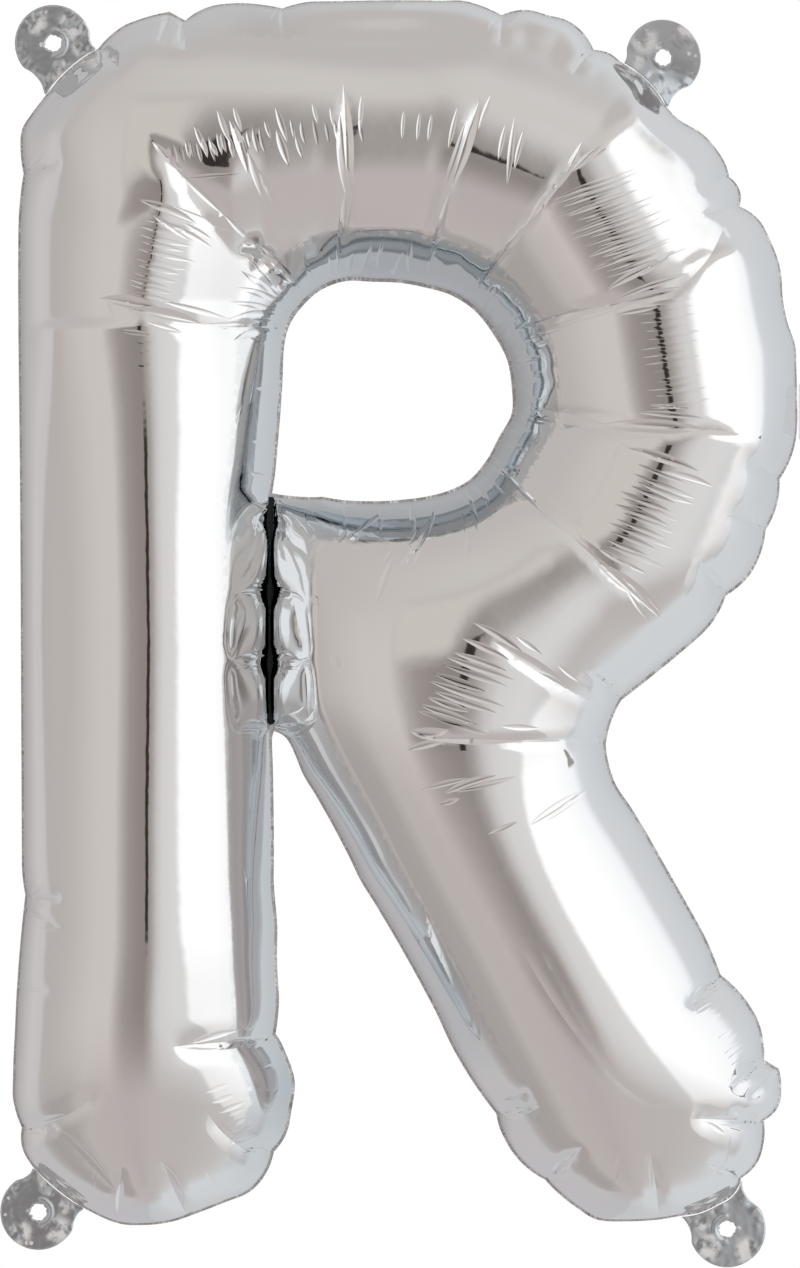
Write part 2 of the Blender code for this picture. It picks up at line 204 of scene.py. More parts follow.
# %% [markdown]
# ## The studio
#
# The room is painted on the world: first the colors round the horizon, then those higher and lower over
# them, then a pale wall, the softbox and two stands. Only what mirrors the room sees it. The camera
# itself sees plain white behind the object.

# %% Studio world
world = bpy.data.worlds.new("studio")
bpy.context.scene.world = world
world.use_nodes = True
sky = NodeSheet(world.node_tree)
direction = sky.add("ShaderNodeTexCoord").outputs["Generated"]
right, away, up = sky.add("ShaderNodeSeparateXYZ", {0: direction}).outputs
towards = sky.math("MULTIPLY", away, -1.0)
azimuth = sky.math("MULTIPLY", sky.math("ARCTAN2", right, towards), math.degrees(1))
elevation = sky.math("MULTIPLY", sky.math("ARCSINE", up), math.degrees(1))


def within(value, limits, soft):
    """1 between the two limits, falling to 0 over soft degrees outside them."""
    low, high = limits
    return sky.product(sky.smooth_step(value, low - soft, low), sky.smooth_step(value, high + soft, high))


def with_patch(background, across, upward, soft, color):
    """The background with a soft-edged rectangle of color on it."""
    mask = sky.product(within(azimuth, across, soft), within(elevation, upward, soft))
    return sky.mix_color(mask, background, picture_color(color))


room = sky.ramp(azimuth, LEVEL_STOPS)
for color, fade in ((sky.ramp(azimuth, HIGH_STOPS), HIGH_FADE), (sky.ramp(azimuth, LOW_STOPS), LOW_FADE),
                    (picture_color(OVERHEAD), OVERHEAD_FADE), (picture_color(UNDERFOOT), UNDERFOOT_FADE)):
    room = sky.mix_color(sky.smooth_step(elevation, *fade), room, color)
room = with_patch(room, *PALE_WALL)

below_level = sky.math("MAXIMUM", sky.math("SUBTRACT", BOX_LEVEL, elevation), BOX_UPRIGHT)
box_left = sky.math("ADD", sky.math("MULTIPLY", below_level, BOX_LEAN), BOX_LEFT)
box_top = sky.math("ADD", sky.math("MULTIPLY", azimuth, BOX_SLOPE), BOX_TOP)
box_mask = sky.product(sky.smooth_step(sky.math("SUBTRACT", azimuth, box_left), *BOX_LEFT_FADE),
                       sky.smooth_step(azimuth, *BOX_RIGHT_FADE),
                       sky.smooth_step(sky.math("SUBTRACT", elevation, box_top), *BOX_TOP_FADE),
                       sky.smooth_step(elevation, *BOX_BOTTOM_FADE))
box_light = sky.mix_color(1.0, sky.ramp(azimuth, BOX_ACROSS), sky.ramp(elevation, BOX_UP), "MULTIPLY")
room = sky.mix_color(box_mask, room, box_light)
room = with_patch(room, *BOX_STAND)
room = with_patch(room, *CAMERA_STAND)

mirrored = sky.add("ShaderNodeBackground", {"Color": room, "Strength": ROOM_STRENGTH}).outputs[0]
seen = sky.add("ShaderNodeBackground", {"Color": (1, 1, 1, 1)}).outputs[0]
by_camera = sky.add("ShaderNodeLightPath").outputs["Is Camera Ray"]
sky.add("ShaderNodeOutputWorld", {"Surface": sky.mix_shader(by_camera, mirrored, seen)})
print("studio painted with", len(world.node_tree.nodes), "nodes")

# %% [markdown]
# ## Reading the flat edges
#
# The frame's panels are solids with a coarse skin. Their welded rim is flat, though, and its edge is
# exactly the line where the film leaves the weld. The next cell walks along that edge and gives it
# back as a closed loop of points.

# %% Flat edges of the frame
SAME_POINT = 0.001 * MM      # points that are no further apart than this are one point
SAME_LEVEL = 0.002 * MM      # how far from a level a point may be and still lie on it


def merged_mesh(node_name):
    """Points and triangles of a node, with the points that its loose triangles share merged."""
    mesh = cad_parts[node_name].data
    places = np.empty(len(mesh.vertices) * 3)
    mesh.vertices.foreach_get("co", places)
    corners = np.empty(len(mesh.polygons) * 3, int)
    mesh.polygons.foreach_get("vertices", corners)
    places = places.reshape(-1, 3)
    keys = np.round(places / SAME_POINT).astype(int)
    _, first, merged = np.unique(keys, axis=0, return_index=True, return_inverse=True)
    return places[first], merged.reshape(-1)[corners].reshape(-1, 3)


def flat_area(loop):
    following = np.roll(loop, -1, axis=0)
    return float((loop[:, 0] * following[:, 1] - following[:, 0] * loop[:, 1]).sum() / 2)


def level_loops(node_name, level):
    """Closed edges, as x and z, of the part of a node's surface that lies flat at y = level."""
    points, triangles = merged_mesh(node_name)
    on_level = np.abs(points[:, 1] - level) < SAME_LEVEL
    edges = set()
    for a, b, c in triangles[on_level[triangles].all(axis=1)]:
        edges |= {(a, b), (b, c), (c, a)}
    following = {a: b for a, b in edges if (b, a) not in edges}
    loops = []
    while following:
        start = min(following)
        loop = [start]
        here = following.pop(start)
        while here != start and here in following:
            loop.append(here)
            here = following.pop(here)
        loops.append(points[loop][:, [0, 2]])
    return sorted(loops, key=lambda loop: abs(flat_area(loop)), reverse=True)


def turned_left(loop):
    """The loop walked so that what it encloses lies to the left."""
    return loop if flat_area(loop) > 0 else loop[::-1]


rim_level = float(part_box("front_panel")[1].y)
panel_rim = turned_left(level_loops("front_panel", rim_level)[0])
weld_rim = turned_left(level_loops("outer_seam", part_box("outer_seam")[0].y)[0])
print("panel rim:", len(panel_rim), "points, weld rim:", len(weld_rim), "points")

# %% [markdown]
# ## A smooth edge with sharp pinches
#
# A weld is a row of shallow arcs that meet in small pinches, where the film gathers. The coarse loop is
# made smooth with a curve through its points, which stops at each pinch and starts again, so that the
# pinches stay sharp.

# %% Smoothing an edge
PINCH_TURN = math.radians(8)      # a notch that turns in more than this stays a corner
CORNER_TURN = math.radians(40)    # and so does any turn over this
FILM_STEP = 1.3 * MM              # spacing of the film's points


def turns(loop):
    """How far the walk turns left at each point, in radians."""
    arriving = loop - np.roll(loop, 1, axis=0)
    leaving = np.roll(loop, -1, axis=0) - loop
    cross = arriving[:, 0] * leaving[:, 1] - arriving[:, 1] * leaving[:, 0]
    dot = (arriving * leaving).sum(axis=1)
    return np.arctan2(cross, dot)


def corner_places(loop):
    turn = turns(loop)
    calmer = np.minimum(np.roll(turn, 1), np.roll(turn, -1)) > turn + PINCH_TURN
    notch = (turn < -PINCH_TURN) & calmer
    return np.flatnonzero(notch | (np.abs(turn) > CORNER_TURN))


def smooth_stretch(points, step):
    """A smooth curve through the points, without its last point, with points at most a step apart."""
    chords = np.linalg.norm(np.diff(points, axis=0), axis=1)
    times = np.concatenate([[0], np.cumsum(chords)])
    if len(points) == 2:
        slopes = np.repeat((points[1:] - points[:1]) / chords[0], 2, axis=0)
    else:
        slopes = np.empty_like(points)
        slopes[1:-1] = (points[2:] - points[:-2]) / (times[2:] - times[:-2])[:, None]
        slopes[0] = 2 * (points[1] - points[0]) / chords[0] - slopes[1]
        slopes[-1] = 2 * (points[-1] - points[-2]) / chords[-1] - slopes[-2]
    curve = []
    for index, chord in enumerate(chords):
        count = max(1, math.ceil(chord / step))
        for t in np.arange(count) / count:
            curve.append(points[index] * (2 * t ** 3 - 3 * t ** 2 + 1)
                         + points[index + 1] * (3 * t ** 2 - 2 * t ** 3)
                         + slopes[index] * chord * (t ** 3 - 2 * t ** 2 + t)
                         + slopes[index + 1] * chord * (t ** 3 - t ** 2))
    return curve


def smooth_loop(loop, step=FILM_STEP):
    """The loop with its shallow arcs rounded and its pinches kept sharp."""
    corners = corner_places(loop)
    if len(corners) == 0:
        corners = np.array([0])
    loop = np.roll(loop, -corners[0], axis=0)
    corners = np.append(corners - corners[0], len(loop))
    closed = np.vstack([loop, loop[:1]])
    curve = []
    for start, end in zip(corners, corners[1:]):
        curve += smooth_stretch(closed[start:end + 1], step)
    return np.array(curve)


outline = smooth_loop(weld_rim)
pinches = panel_rim[corner_places(panel_rim)]
print("outline:", len(outline), "points,", len(pinches), "pinches in the film's edge")

# %% [markdown]
# ## How far from an edge
#
# Again and again below, the distance from many points to one closed line is needed, and whether they lie
# inside it. Numpy finds that for a few thousand points at a time.

# %% Distances to an edge
CHUNK = 4000      # points that are compared with a whole line at a time


def edge_distance(points, loop):
    """Shortest distance from each point to the closed loop, the place on it, and the loop's nearest point."""
    ends = np.roll(loop, -1, axis=0)
    along = ends - loop
    squared = (along ** 2).sum(axis=1)
    gaps = np.empty(len(points))
    places = np.empty((len(points), 2))
    indices = np.empty(len(points), int)
    for start in range(0, len(points), CHUNK):
        part = points[start:start + CHUNK]
        dx = part[:, 0:1] - loop[:, 0]
        dz = part[:, 1:2] - loop[:, 1]
        t = np.clip((dx * along[:, 0] + dz * along[:, 1]) / squared, 0, 1)
        dx -= t * along[:, 0]
        dz -= t * along[:, 1]
        gap = dx ** 2 + dz ** 2
        nearest = gap.argmin(axis=1)
        rows = np.arange(len(part))
        gaps[start:start + CHUNK] = np.sqrt(gap[rows, nearest])
        places[start:start + CHUNK] = loop[nearest] + t[rows, nearest][:, None] * along[nearest]
        indices[start:start + CHUNK] = nearest
    return gaps, places, indices


def is_inside(points, loop):
    """Whether each point lies inside the closed loop."""
    ends = np.roll(loop, -1, axis=0)
    rise = np.where(ends[:, 1] == loop[:, 1], 1.0, ends[:, 1] - loop[:, 1])
    found = np.empty(len(points), bool)
    for start in range(0, len(points), CHUNK):
        x = points[start:start + CHUNK, 0:1]
        z = points[start:start + CHUNK, 1:2]
        crosses = (loop[:, 1] > z) != (ends[:, 1] > z)
        crossing = loop[:, 0] + (z - loop[:, 1]) * (ends[:, 0] - loop[:, 0]) / rise
        found[start:start + CHUNK] = (crosses & (x < crossing)).sum(axis=1) % 2 == 1
    return found


print("the panel's pinches lie about", round(float(np.median(edge_distance(pinches, outline)[0])) / MM, 1),
      "mm in from the outline")

# %% [markdown]
# ## How wide the weld shows
#
# On the real balloon the heat has drawn the film in, and only a line of weld under a millimetre wide
# shows beyond it. So the film's edge is taken a part of the way out to the outline. Between stem and leg
# the two sides come so close over the weld that only a narrow slit is left, narrowest at two pinches.

# %% The film's own edge
WELD_SHOWS = 0.55             # the share of the rim that stays weld, beyond the film
WELD_REACH = 3 * MM           # only an edge nearer than this to a weld's far side is taken out
SLIT_X = -25.5 * MM           # the middle of the weld between stem and leg
SLIT_SIDE = 5 * MM            # an edge nearer than this to it belongs to the slit
SLIT_ENDS, SLIT_FADE = (-191 * MM, -132 * MM), 4 * MM
SLIT_PINCHES, SLIT_PINCH_REACH = np.array([(-155.5, -175.6)]) * MM, 2.5 * MM
SLIT_WIDEST, SLIT_NARROWEST = 1.5 * MM, 0.4 * MM      # half widths

film_edge = smooth_loop(panel_rim)
counter_line = smooth_loop(turned_left(level_loops("counter_seam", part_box("counter_seam")[0].y)[-1]))
(to_outline, at_outline, _), (to_counter, at_counter, _) = (edge_distance(film_edge, line)
                                                            for line in (outline, counter_line))
to_weld = np.where((to_outline < to_counter)[:, None], at_outline, at_counter) - film_edge
in_reach = np.linalg.norm(to_weld, axis=1) < WELD_REACH
film_edge = film_edge + np.where(in_reach[:, None], (1 - WELD_SHOWS) * to_weld, 0)

from_slit = film_edge[:, 0] - SLIT_X
at_pinch = np.exp(-(np.abs(film_edge[:, 1:] - SLIT_PINCHES).min(axis=1) / SLIT_PINCH_REACH) ** 2)
slit_half = SLIT_WIDEST + (SLIT_NARROWEST - SLIT_WIDEST) * at_pinch
in_slit = np.clip((film_edge[:, 1] - SLIT_ENDS[0]) / SLIT_FADE, 0, 1)
in_slit *= np.clip((SLIT_ENDS[1] - film_edge[:, 1]) / SLIT_FADE, 0, 1) * (np.abs(from_slit) < SLIT_SIDE)
drawn_in = np.sign(from_slit) * np.minimum(np.abs(from_slit), slit_half)
film_edge[:, 0] += in_slit * (drawn_in - from_slit)
print("film edge:", len(film_edge), "points, cut area", round(flat_area(film_edge), 5), "m2")

# %% [markdown]
# ## Points of the flat film
#
# The film is cut flat, like the real one, as a fine net of points that is swollen afterwards. Close to
# the edge, where the swollen film stands steep, the points lie on curves parallel to the edge, so close
# together that they are evenly spaced once the film stands up. The middle is an even triangular grid.

# %% Points of the flat film
TUBE_RADIUS = 30 * MM        # a usual stroke's swollen radius, which spaces the rings
RING_LIMIT = 0.8             # rings end where the film leans back less than this
RING_CLEAR = 0.985           # a ring's point is this share of the ring's depth away from every edge
GRID_CLEAR = 0.6             # the grid starts this many steps inside the last ring
# The gaps along a ring, in steps: the narrowest, the widest, and from where on the ring is broken.
NARROWEST_GAP, WIDEST_GAP, BROKEN_GAP = 0.7, 1.5, 4


def quarter_turned(vectors):
    """Flat vectors turned a quarter to the left."""
    return np.stack([-vectors[:, 1], vectors[:, 0]], axis=1)


def inward_normals(loop):
    along = np.roll(loop, -1, axis=0) - np.roll(loop, 1, axis=0)
    return quarter_turned(along / np.linalg.norm(along, axis=1)[:, None])


def ring_depths():
    """Depths in from the edge that lie one film step apart once the film is swollen."""
    depths = []
    angle = FILM_STEP / TUBE_RADIUS
    while math.sin(angle) < RING_LIMIT:
        depths.append(TUBE_RADIUS * (1 - math.cos(angle)))
        angle += FILM_STEP / TUBE_RADIUS
    return depths


def ring_points(loop, depth, step):
    """Points of the parallel curve at a depth inside the loop."""
    normals = inward_normals(loop)
    turn = turns(loop)
    candidates = []
    last = None
    for index, point in enumerate(loop):
        spread = -turn[index] * depth
        if turn[index] < -PINCH_TURN and spread > step:
            count = math.ceil(spread / step)
            base = math.atan2(normals[index][1], normals[index][0])
            angles = base - turn[index] * (0.5 - np.arange(count + 1) / count)
            fan = [point + depth * np.array((math.cos(a), math.sin(a))) for a in angles]
        else:
            fan = [point + depth * normals[index]]
        for place in fan:
            gap = step if last is None else float(np.linalg.norm(place - last))
            if gap < NARROWEST_GAP * step:
                continue
            if last is not None and WIDEST_GAP * step < gap < BROKEN_GAP * step:
                candidates.append((place + last) / 2)
            candidates.append(place)
            last = place
    return np.array(candidates)


def even_grid(loop, step):
    """A triangular grid of points inside the loop."""
    low, high = loop.min(axis=0), loop.max(axis=0)
    row_step = step * math.sqrt(3) / 2
    columns, rows = np.meshgrid(np.arange((high[0] - low[0]) / step),
                                np.arange((high[1] - low[1]) / row_step))
    grid = np.stack([low[0] + step * (columns + 0.5 * (rows % 2)), low[1] + row_step * rows], axis=2)
    grid = grid.reshape(-1, 2)
    return grid[is_inside(grid, loop)]


def film_points(loop):
    """Rings that follow the edge closely, then an even grid."""
    kept = []
    depths = ring_depths()
    for depth in depths:
        ring = ring_points(loop, depth, FILM_STEP)
        ring = ring[edge_distance(ring, loop)[0] > RING_CLEAR * depth]
        kept.append(ring[is_inside(ring, loop)])
    grid = even_grid(loop, FILM_STEP)
    kept.append(grid[edge_distance(grid, loop)[0] > depths[-1] + GRID_CLEAR * FILM_STEP])
    return np.vstack(kept)


sheet = film_points(film_edge)
print("film points:", len(sheet))

# %% [markdown]
# ## Joining the points up
#
# Blender's constrained Delaunay function fills an outline with triangles. It can also be told lines
# that the triangles have to follow, and every crease is such a line, because a fold that crosses
# triangles at random looks like a saw blade in chrome.

# %% Filling a flat outline
CREASE_CLEARANCE = 0.6       # no loose point lies nearer to a crease line than this share of a step
SAME_PLACE = 0.00001 * MM    # points nearer to each other than this become one


def tree_of(points):
    """A tree of flat points, in which the one nearest to a place is found quickly."""
    tree = KDTree(len(points))
    for index, point in enumerate(points):
        tree.insert((*point, 0), index)
    tree.balance()
    return tree


def fill_flat(loop, inner, lines=(), step=FILM_STEP):
    """Triangles that fill the loop, use the inner points and follow every line.

    Gives the points, the triangles, which points are on the loop, and for each line the mesh edges
    that it became."""
    if len(lines):
        tree = tree_of(np.vstack(lines))
        clear = [tree.find((*point, 0))[2] > CREASE_CLEARANCE * step for point in inner]
        inner = inner[np.array(clear)]
    points = [Vector(p) for p in loop]
    edges = [(i, (i + 1) % len(loop)) for i in range(len(loop))]
    owner = [-1] * len(edges)
    for number, line in enumerate(lines):
        first = len(points)
        points += [Vector(p) for p in line]
        edges += [(first + i, first + i + 1) for i in range(len(line) - 1)]
        owner += [number] * (len(line) - 1)
    points += [Vector(p) for p in inner]
    flat, flat_edges, faces, sources, edge_sources, _ = delaunay_2d_cdt(points, edges, [], 1, SAME_PLACE)
    flat, faces = np.array([tuple(p) for p in flat]), np.array(faces)
    faces = faces[is_inside(flat[faces].mean(axis=1), loop)]
    on_edge = np.array([any(source < len(loop) for source in found) for found in sources])
    of_line = [[] for _ in lines]
    for edge, found in zip(flat_edges, edge_sources):
        for source in found:
            if source < len(edges) and owner[source] >= 0:
                of_line[owner[source]].append(edge)
    return flat, faces, on_edge, of_line


plain, plain_faces, plain_rim, _ = fill_flat(film_edge, sheet)
print("flat film:", len(plain), "points,", len(plain_faces), "triangles")

# %% [markdown]
# ## Blowing it up
#
# Air pushes on the film everywhere alike, and the weld holds its edge. For a long straight stroke the
# answer is a round tube. A neat way to get it for any outline is to solve Poisson's equation, the one
# for a soap film that carries a load, and to take the square root of the height: over a strip that is
# exactly half a circle.
#
# A tube that is bent round into a ring stands fullest a little outside its middle line, because the
# outer side has more film. The load leans that way round the bowl of the letter.

# %% Solving for the swollen height
RING_LEAN = 1.15                 # how much heavier the load is at a ring's outer edge than in its middle
LEAN_COMES, LEAN_GOES = (-70, -45), (130, 104)    # round the bowl, in degrees up from the right
COUNTER_REACH = 50 * MM          # an edge nearer than this to the counter's middle is the counter's
BOWL_REACH = 80 * MM             # and one further away is the bowl's outer side, within these degrees
BOWL_MIDDLE, BOWL_HALF = 30, 120
TINY_AREA = 1e-13                # a triangle that is smaller is counted as this large, in square metres
SOLVED_TO, MOST_TURNS = 1e-6, 4000

counter_low, counter_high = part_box("counter_seam")
ring_center = np.array(((counter_low.x + counter_high.x) / 2, (counter_low.z + counter_high.z) / 2))


def smooth(value, low, high):
    """0 at low and 1 at high, with soft ends. High may be the smaller of the two."""
    t = np.clip((value - low) / (high - low), 0, 1)
    return t * t * (3 - 2 * t)


def polar(points):
    """Distance from the counter's middle, and the angle up from the right in degrees."""
    offset = points - ring_center
    return np.linalg.norm(offset, axis=1), np.degrees(np.arctan2(offset[:, 1], offset[:, 0]))


edge_radius, edge_angle = polar(film_edge)
ring_inner = edge_radius < COUNTER_REACH
ring_outer = (edge_radius > BOWL_REACH) & (np.abs(edge_angle - BOWL_MIDDLE) < BOWL_HALF)


def edge_radius_at(angle, chosen):
    order = np.argsort(edge_angle[chosen])
    return np.interp(angle, edge_angle[chosen][order], edge_radius[chosen][order])


def leaning_load(points):
    """The load at each point: 1, or more towards the outer side of the bowl."""
    radius, angle = polar(points)
    inner = edge_radius_at(angle, ring_inner)
    outer = edge_radius_at(angle, ring_outer)
    across = np.clip((2 * radius - inner - outer) / (outer - inner), -1, 1)
    return 1 + RING_LEAN * across * (smooth(angle, *LEAN_COMES) * smooth(angle, *LEAN_GOES))


def double_areas(a, b, c):
    """Twice the area of each triangle with corners a, b and c, or minus that where it is turned over."""
    return (b[:, 0] - a[:, 0]) * (c[:, 1] - a[:, 1]) - (b[:, 1] - a[:, 1]) * (c[:, 0] - a[:, 0])


def loaded_height(points, faces, fixed, load_share):
    """Height of a loaded sheet that is fixed at its rim, by conjugate gradients."""
    area = np.maximum(np.abs(double_areas(*(points[faces[:, k]] for k in range(3)))) / 2, TINY_AREA)
    starts, ends, stiffness = [], [], []
    for k in range(3):
        tip, one, other = (faces[:, (k + step) % 3] for step in range(3))
        spread = ((points[one] - points[tip]) * (points[other] - points[tip])).sum(axis=1)
        starts.append(one)
        ends.append(other)
        stiffness.append(spread / (4 * area))
    starts, ends, stiffness = map(np.concatenate, (starts, ends, stiffness))
    count = len(points)
    load = np.bincount(faces.ravel(), np.repeat(2 * area / 3, 3), count) * load_share
    diagonal = np.bincount(starts, stiffness, count) + np.bincount(ends, stiffness, count)
    diagonal[diagonal <= 0] = 1
    free = (~fixed).astype(float)
    solution = np.zeros(count)
    left = load * free
    step = left / diagonal
    heading = step.copy()
    strength = left @ step
    goal = SOLVED_TO * math.sqrt(left @ left)
    turn = 0
    while math.sqrt(left @ left) > goal and turn < MOST_TURNS:
        flow = stiffness * (heading[starts] - heading[ends])
        pull = (np.bincount(starts, flow, count) - np.bincount(ends, flow, count)) * free
        length = strength / (heading @ pull)
        solution += length * heading
        left -= length * pull
        step = left / diagonal
        following = left @ step
        heading = step + following / strength * heading
        strength = following
        turn += 1
    print("solved in", turn, "steps")
    return solution


height = loaded_height(plain, plain_faces, plain_rim, leaning_load(plain))
print("fullest, before it is capped:", round(math.sqrt(height.max()) / MM, 1), "mm")

# %% [markdown]
# ## Reading the height anywhere
#
# The creased net below has its own points, so the height is read off the plain one. Inside a triangle
# it is a blend of what its three corners expect, each with its own slope, which is exact for a
# parabola and shows no facets in the chrome.

# %% Reading the height anywhere
class HeightField:
    """The swollen height over the flat film, which can be read at any place."""

    def __init__(self, points, faces, values):
        self.points, self.faces, self.values = points, faces, values
        corners = [points[faces[:, k]] for k in range(3)]
        double_area = double_areas(*corners)
        double_area = np.where(np.abs(double_area) < TINY_AREA, TINY_AREA, double_area)
        face_slope = np.zeros((len(faces), 2))
        for k in range(3):
            facing_edge = corners[(k + 2) % 3] - corners[(k + 1) % 3]
            face_slope += values[faces[:, k]][:, None] * quarter_turned(facing_edge)
        face_slope /= double_area[:, None]
        weight = np.abs(double_area)
        over_x, over_z, total = (np.bincount(faces.ravel(), np.repeat(shared, 3), len(points))
                                 for shared in (face_slope[:, 0] * weight, face_slope[:, 1] * weight, weight))
        self.slopes = np.stack([over_x / total, over_z / total], axis=1)
        self.tree = tree_of((corners[0] + corners[1] + corners[2]) / 3)

    def at(self, places):
        nearest = np.array([self.tree.find((*place, 0))[1] for place in places])
        corner = self.faces[nearest]
        a, b, c = (self.points[corner[:, k]] for k in range(3))
        double_area = double_areas(a, b, c)
        share_b = double_areas(a, places, c) / double_area
        share_c = double_areas(a, b, places) / double_area
        found = np.zeros(len(places))
        for k, share in enumerate((1 - share_b - share_c, share_b, share_c)):
            offset = places - self.points[corner[:, k]]
            slope = self.slopes[corner[:, k]]
            found += share * (self.values[corner[:, k]] + 0.5 * (slope * offset).sum(axis=1))
        return np.maximum(found, 0)


FULLEST = 46 * MM      # no half depth is over this
CAP_POWER = 8          # how abruptly the film levels off below it


def half_depth(heights):
    """A round tube's half depth, levelled off softly where a wide place would stand too full."""
    depth = np.sqrt(heights)
    return depth / (1 + (depth / FULLEST) ** CAP_POWER) ** (1 / CAP_POWER)


field = HeightField(plain, plain_faces, height)
print("deepest half:", round(half_depth(height).max() / MM, 1), "mm")

# %% [markdown]
# ## Places read off the photograph
#
# Creases are placed where the photograph shows them. A pixel says in which direction a place lies, and
# the swollen film says how far forward it stands, so a few rounds of guessing give the place on the
# flat film.

# %% Places read off the photograph
PHOTO_SCALE = 0.2876 * MM       # one pixel of the photograph at the seam's plane
PHOTO_ORIGIN = (359.0, 49.4)    # the pixel where the hang point is


def photo_place(x_pixel, y_pixel):
    """The point of the flat film that a pixel shows, allowing for how far the swollen film stands forward."""
    seen_at = np.array(((x_pixel - PHOTO_ORIGIN[0]) * PHOTO_SCALE, (PHOTO_ORIGIN[1] - y_pixel) * PHOTO_SCALE))
    middle = np.array((CAMERA_PLACE[0], CAMERA_PLACE[2]))
    place = seen_at
    for _ in range(3):
        forward = half_depth(field.at(place[None]))[0]
        place = middle + (seen_at - middle) * (1 + forward / CAMERA_PLACE[1])
    return place


print("the bowl's crease corner at", np.round(photo_place(581, 154) / MM, 1), "mm")

# %% [markdown]
# ## Where the film stands fullest
#
# The fullest place across a stroke is read off a parabola through its greatest heights. A smooth curve
# through all such places is the film's own crest, once round the bowl and once down the stem.

# %% The film's own crests
STEM_CREST = [(139, 322), (144, 420), (147, 560), (148, 640), (146, 800), (146, 940)]   # pixels on it
BOWL_ANGLES = np.arange(-75, 136, 5)            # where round the bowl its crest is looked for,
BOWL_REACHES = np.arange(55, 100, 0.5) * MM     # and how far from the counter's middle
STEM_REACHES = np.arange(-80, -45, 0.5) * MM    # where across the stem its crest is looked for


def fullest_place(places, heights, spread):
    """Where the heights peak, by a parabola through spread of them to either side of the greatest."""
    peak = min(max(int(heights.argmax()), spread), len(places) - 1 - spread)
    near = slice(peak - spread, peak + spread + 1)
    bend, slope, _ = np.polyfit(places[near] - places[peak], heights[near], 2)
    return places[peak] - slope / (2 * bend)


def bowl_fullest(angle):
    ray = np.array((math.cos(angle), math.sin(angle)))
    return fullest_place(BOWL_REACHES, field.at(ring_center + BOWL_REACHES[:, None] * ray), 4)


def stem_fullest(z):
    row = np.stack([STEM_REACHES, np.full(len(STEM_REACHES), z)], axis=1)
    return fullest_place(STEM_REACHES, field.at(row), 5)


bowl_curve = np.polyfit(BOWL_ANGLES, [bowl_fullest(angle) for angle in np.radians(BOWL_ANGLES)], 6)
stem_knots = np.array([photo_place(*pixel) for pixel in STEM_CREST])
stem_heights = np.linspace(stem_knots[0, 1], stem_knots[-1, 1], 24)
stem_curve = np.polyfit(stem_heights, [stem_fullest(z) for z in stem_heights], 5)
stem_own = np.polyval(stem_curve, stem_heights)


def bowl_crest(angle):
    """How far from the counter's middle the film's own crest is, at an angle in degrees."""
    return np.polyval(bowl_curve, np.clip(angle, BOWL_ANGLES[0], BOWL_ANGLES[-1]))


print("stem crest, own minus wanted:",
      np.round((np.interp(-stem_knots[:, 1], -stem_heights, stem_own) - stem_knots[:, 0]) / MM, 1), "mm")

# %% [markdown]
# ## Straight stretches
#
# Foil doesn't stretch, so a bent tube isn't a smooth ring: it is a chain of straight stretches with a
# crease between each two, like a stovepipe bend. The crest of each stretch is a straight line. Each
# point of the bowl is given the height from a place a little further in or out, so that the crest
# comes to lie on the line that the photograph shows. The stem's crest is drawn straight in the same
# way. Near the weld nothing is moved.

# %% Straight stretches
# Crest lines between creases, each by two pixels on it.
BOWL_CRESTS = [((668, 474), (628, 557)), ((667, 299), (684, 413)), ((593, 178), (644, 260)),
               ((512, 150), (590, 180)), ((300, 125), (430, 127)), ((172, 149), (232, 148))]
# The bends between them by degrees, and over how many degrees one stretch gives way to the next, on
# the inner side of the crest and on the outer side.
BENDS = [(-39, 9, 9), (-8, 1.5, 1.5), (22, 1.5, 1.5), (49.5, 1.5, 2), (78, 3, 8), (121, 2, 20),
         (134, 1.5, 20)]
OUTER_FADE = 15 * MM                         # from the crest to where a bend is as soft as outside
HELD_FROM, FREE_FROM = 3 * MM, 15 * MM       # from the edge: no shift up to here, all of it from here
NO_SHARE = 0.001                             # less than this of any stretch counts as none
STEM_SIDE = -20 * MM                         # the stem is left of this
STEM_TOP_FADE, STEM_FOOT_FADE = 2 * MM, 25 * MM


def crest_line(first, second):
    """The crest's distance from the counter's middle, and the angle of its normal in degrees."""
    start, end = photo_place(*first), photo_place(*second)
    along = (end - start) / np.linalg.norm(end - start)
    normal = np.array((-along[1], along[0]))
    distance = (start - ring_center) @ normal
    if distance < 0:
        normal, distance = -normal, -distance
    return distance, math.degrees(math.atan2(normal[1], normal[0]))


bowl_lines = [crest_line(*pixels) for pixels in BOWL_CRESTS]


def bowl_shift(points):
    """From each point of the bowl to where it takes its height."""
    radius, angle = polar(points)
    own = bowl_crest(angle)
    outside = smooth(radius - own, 0, OUTER_FADE)
    passed = []
    for bend, inner, outer in BENDS:
        soft = inner + (outer - inner) * outside
        passed.append(smooth(angle, bend - soft, bend + soft))
    straight, total = np.zeros(len(points)), np.zeros(len(points))
    for (distance, normal_angle), begun, ended in zip(bowl_lines, passed, passed[1:]):
        share = begun * (1 - ended)
        straight += share * own * radius * np.cos(np.radians(angle - normal_angle)) / distance
        total += share
    in_ring = (radius < edge_radius_at(angle, ring_outer)) & (total > NO_SHARE)
    shift = (straight / np.maximum(total, NO_SHARE) - radius) * np.minimum(total, 1)
    return (points - ring_center) / radius[:, None] * np.where(in_ring, shift, 0)[:, None]


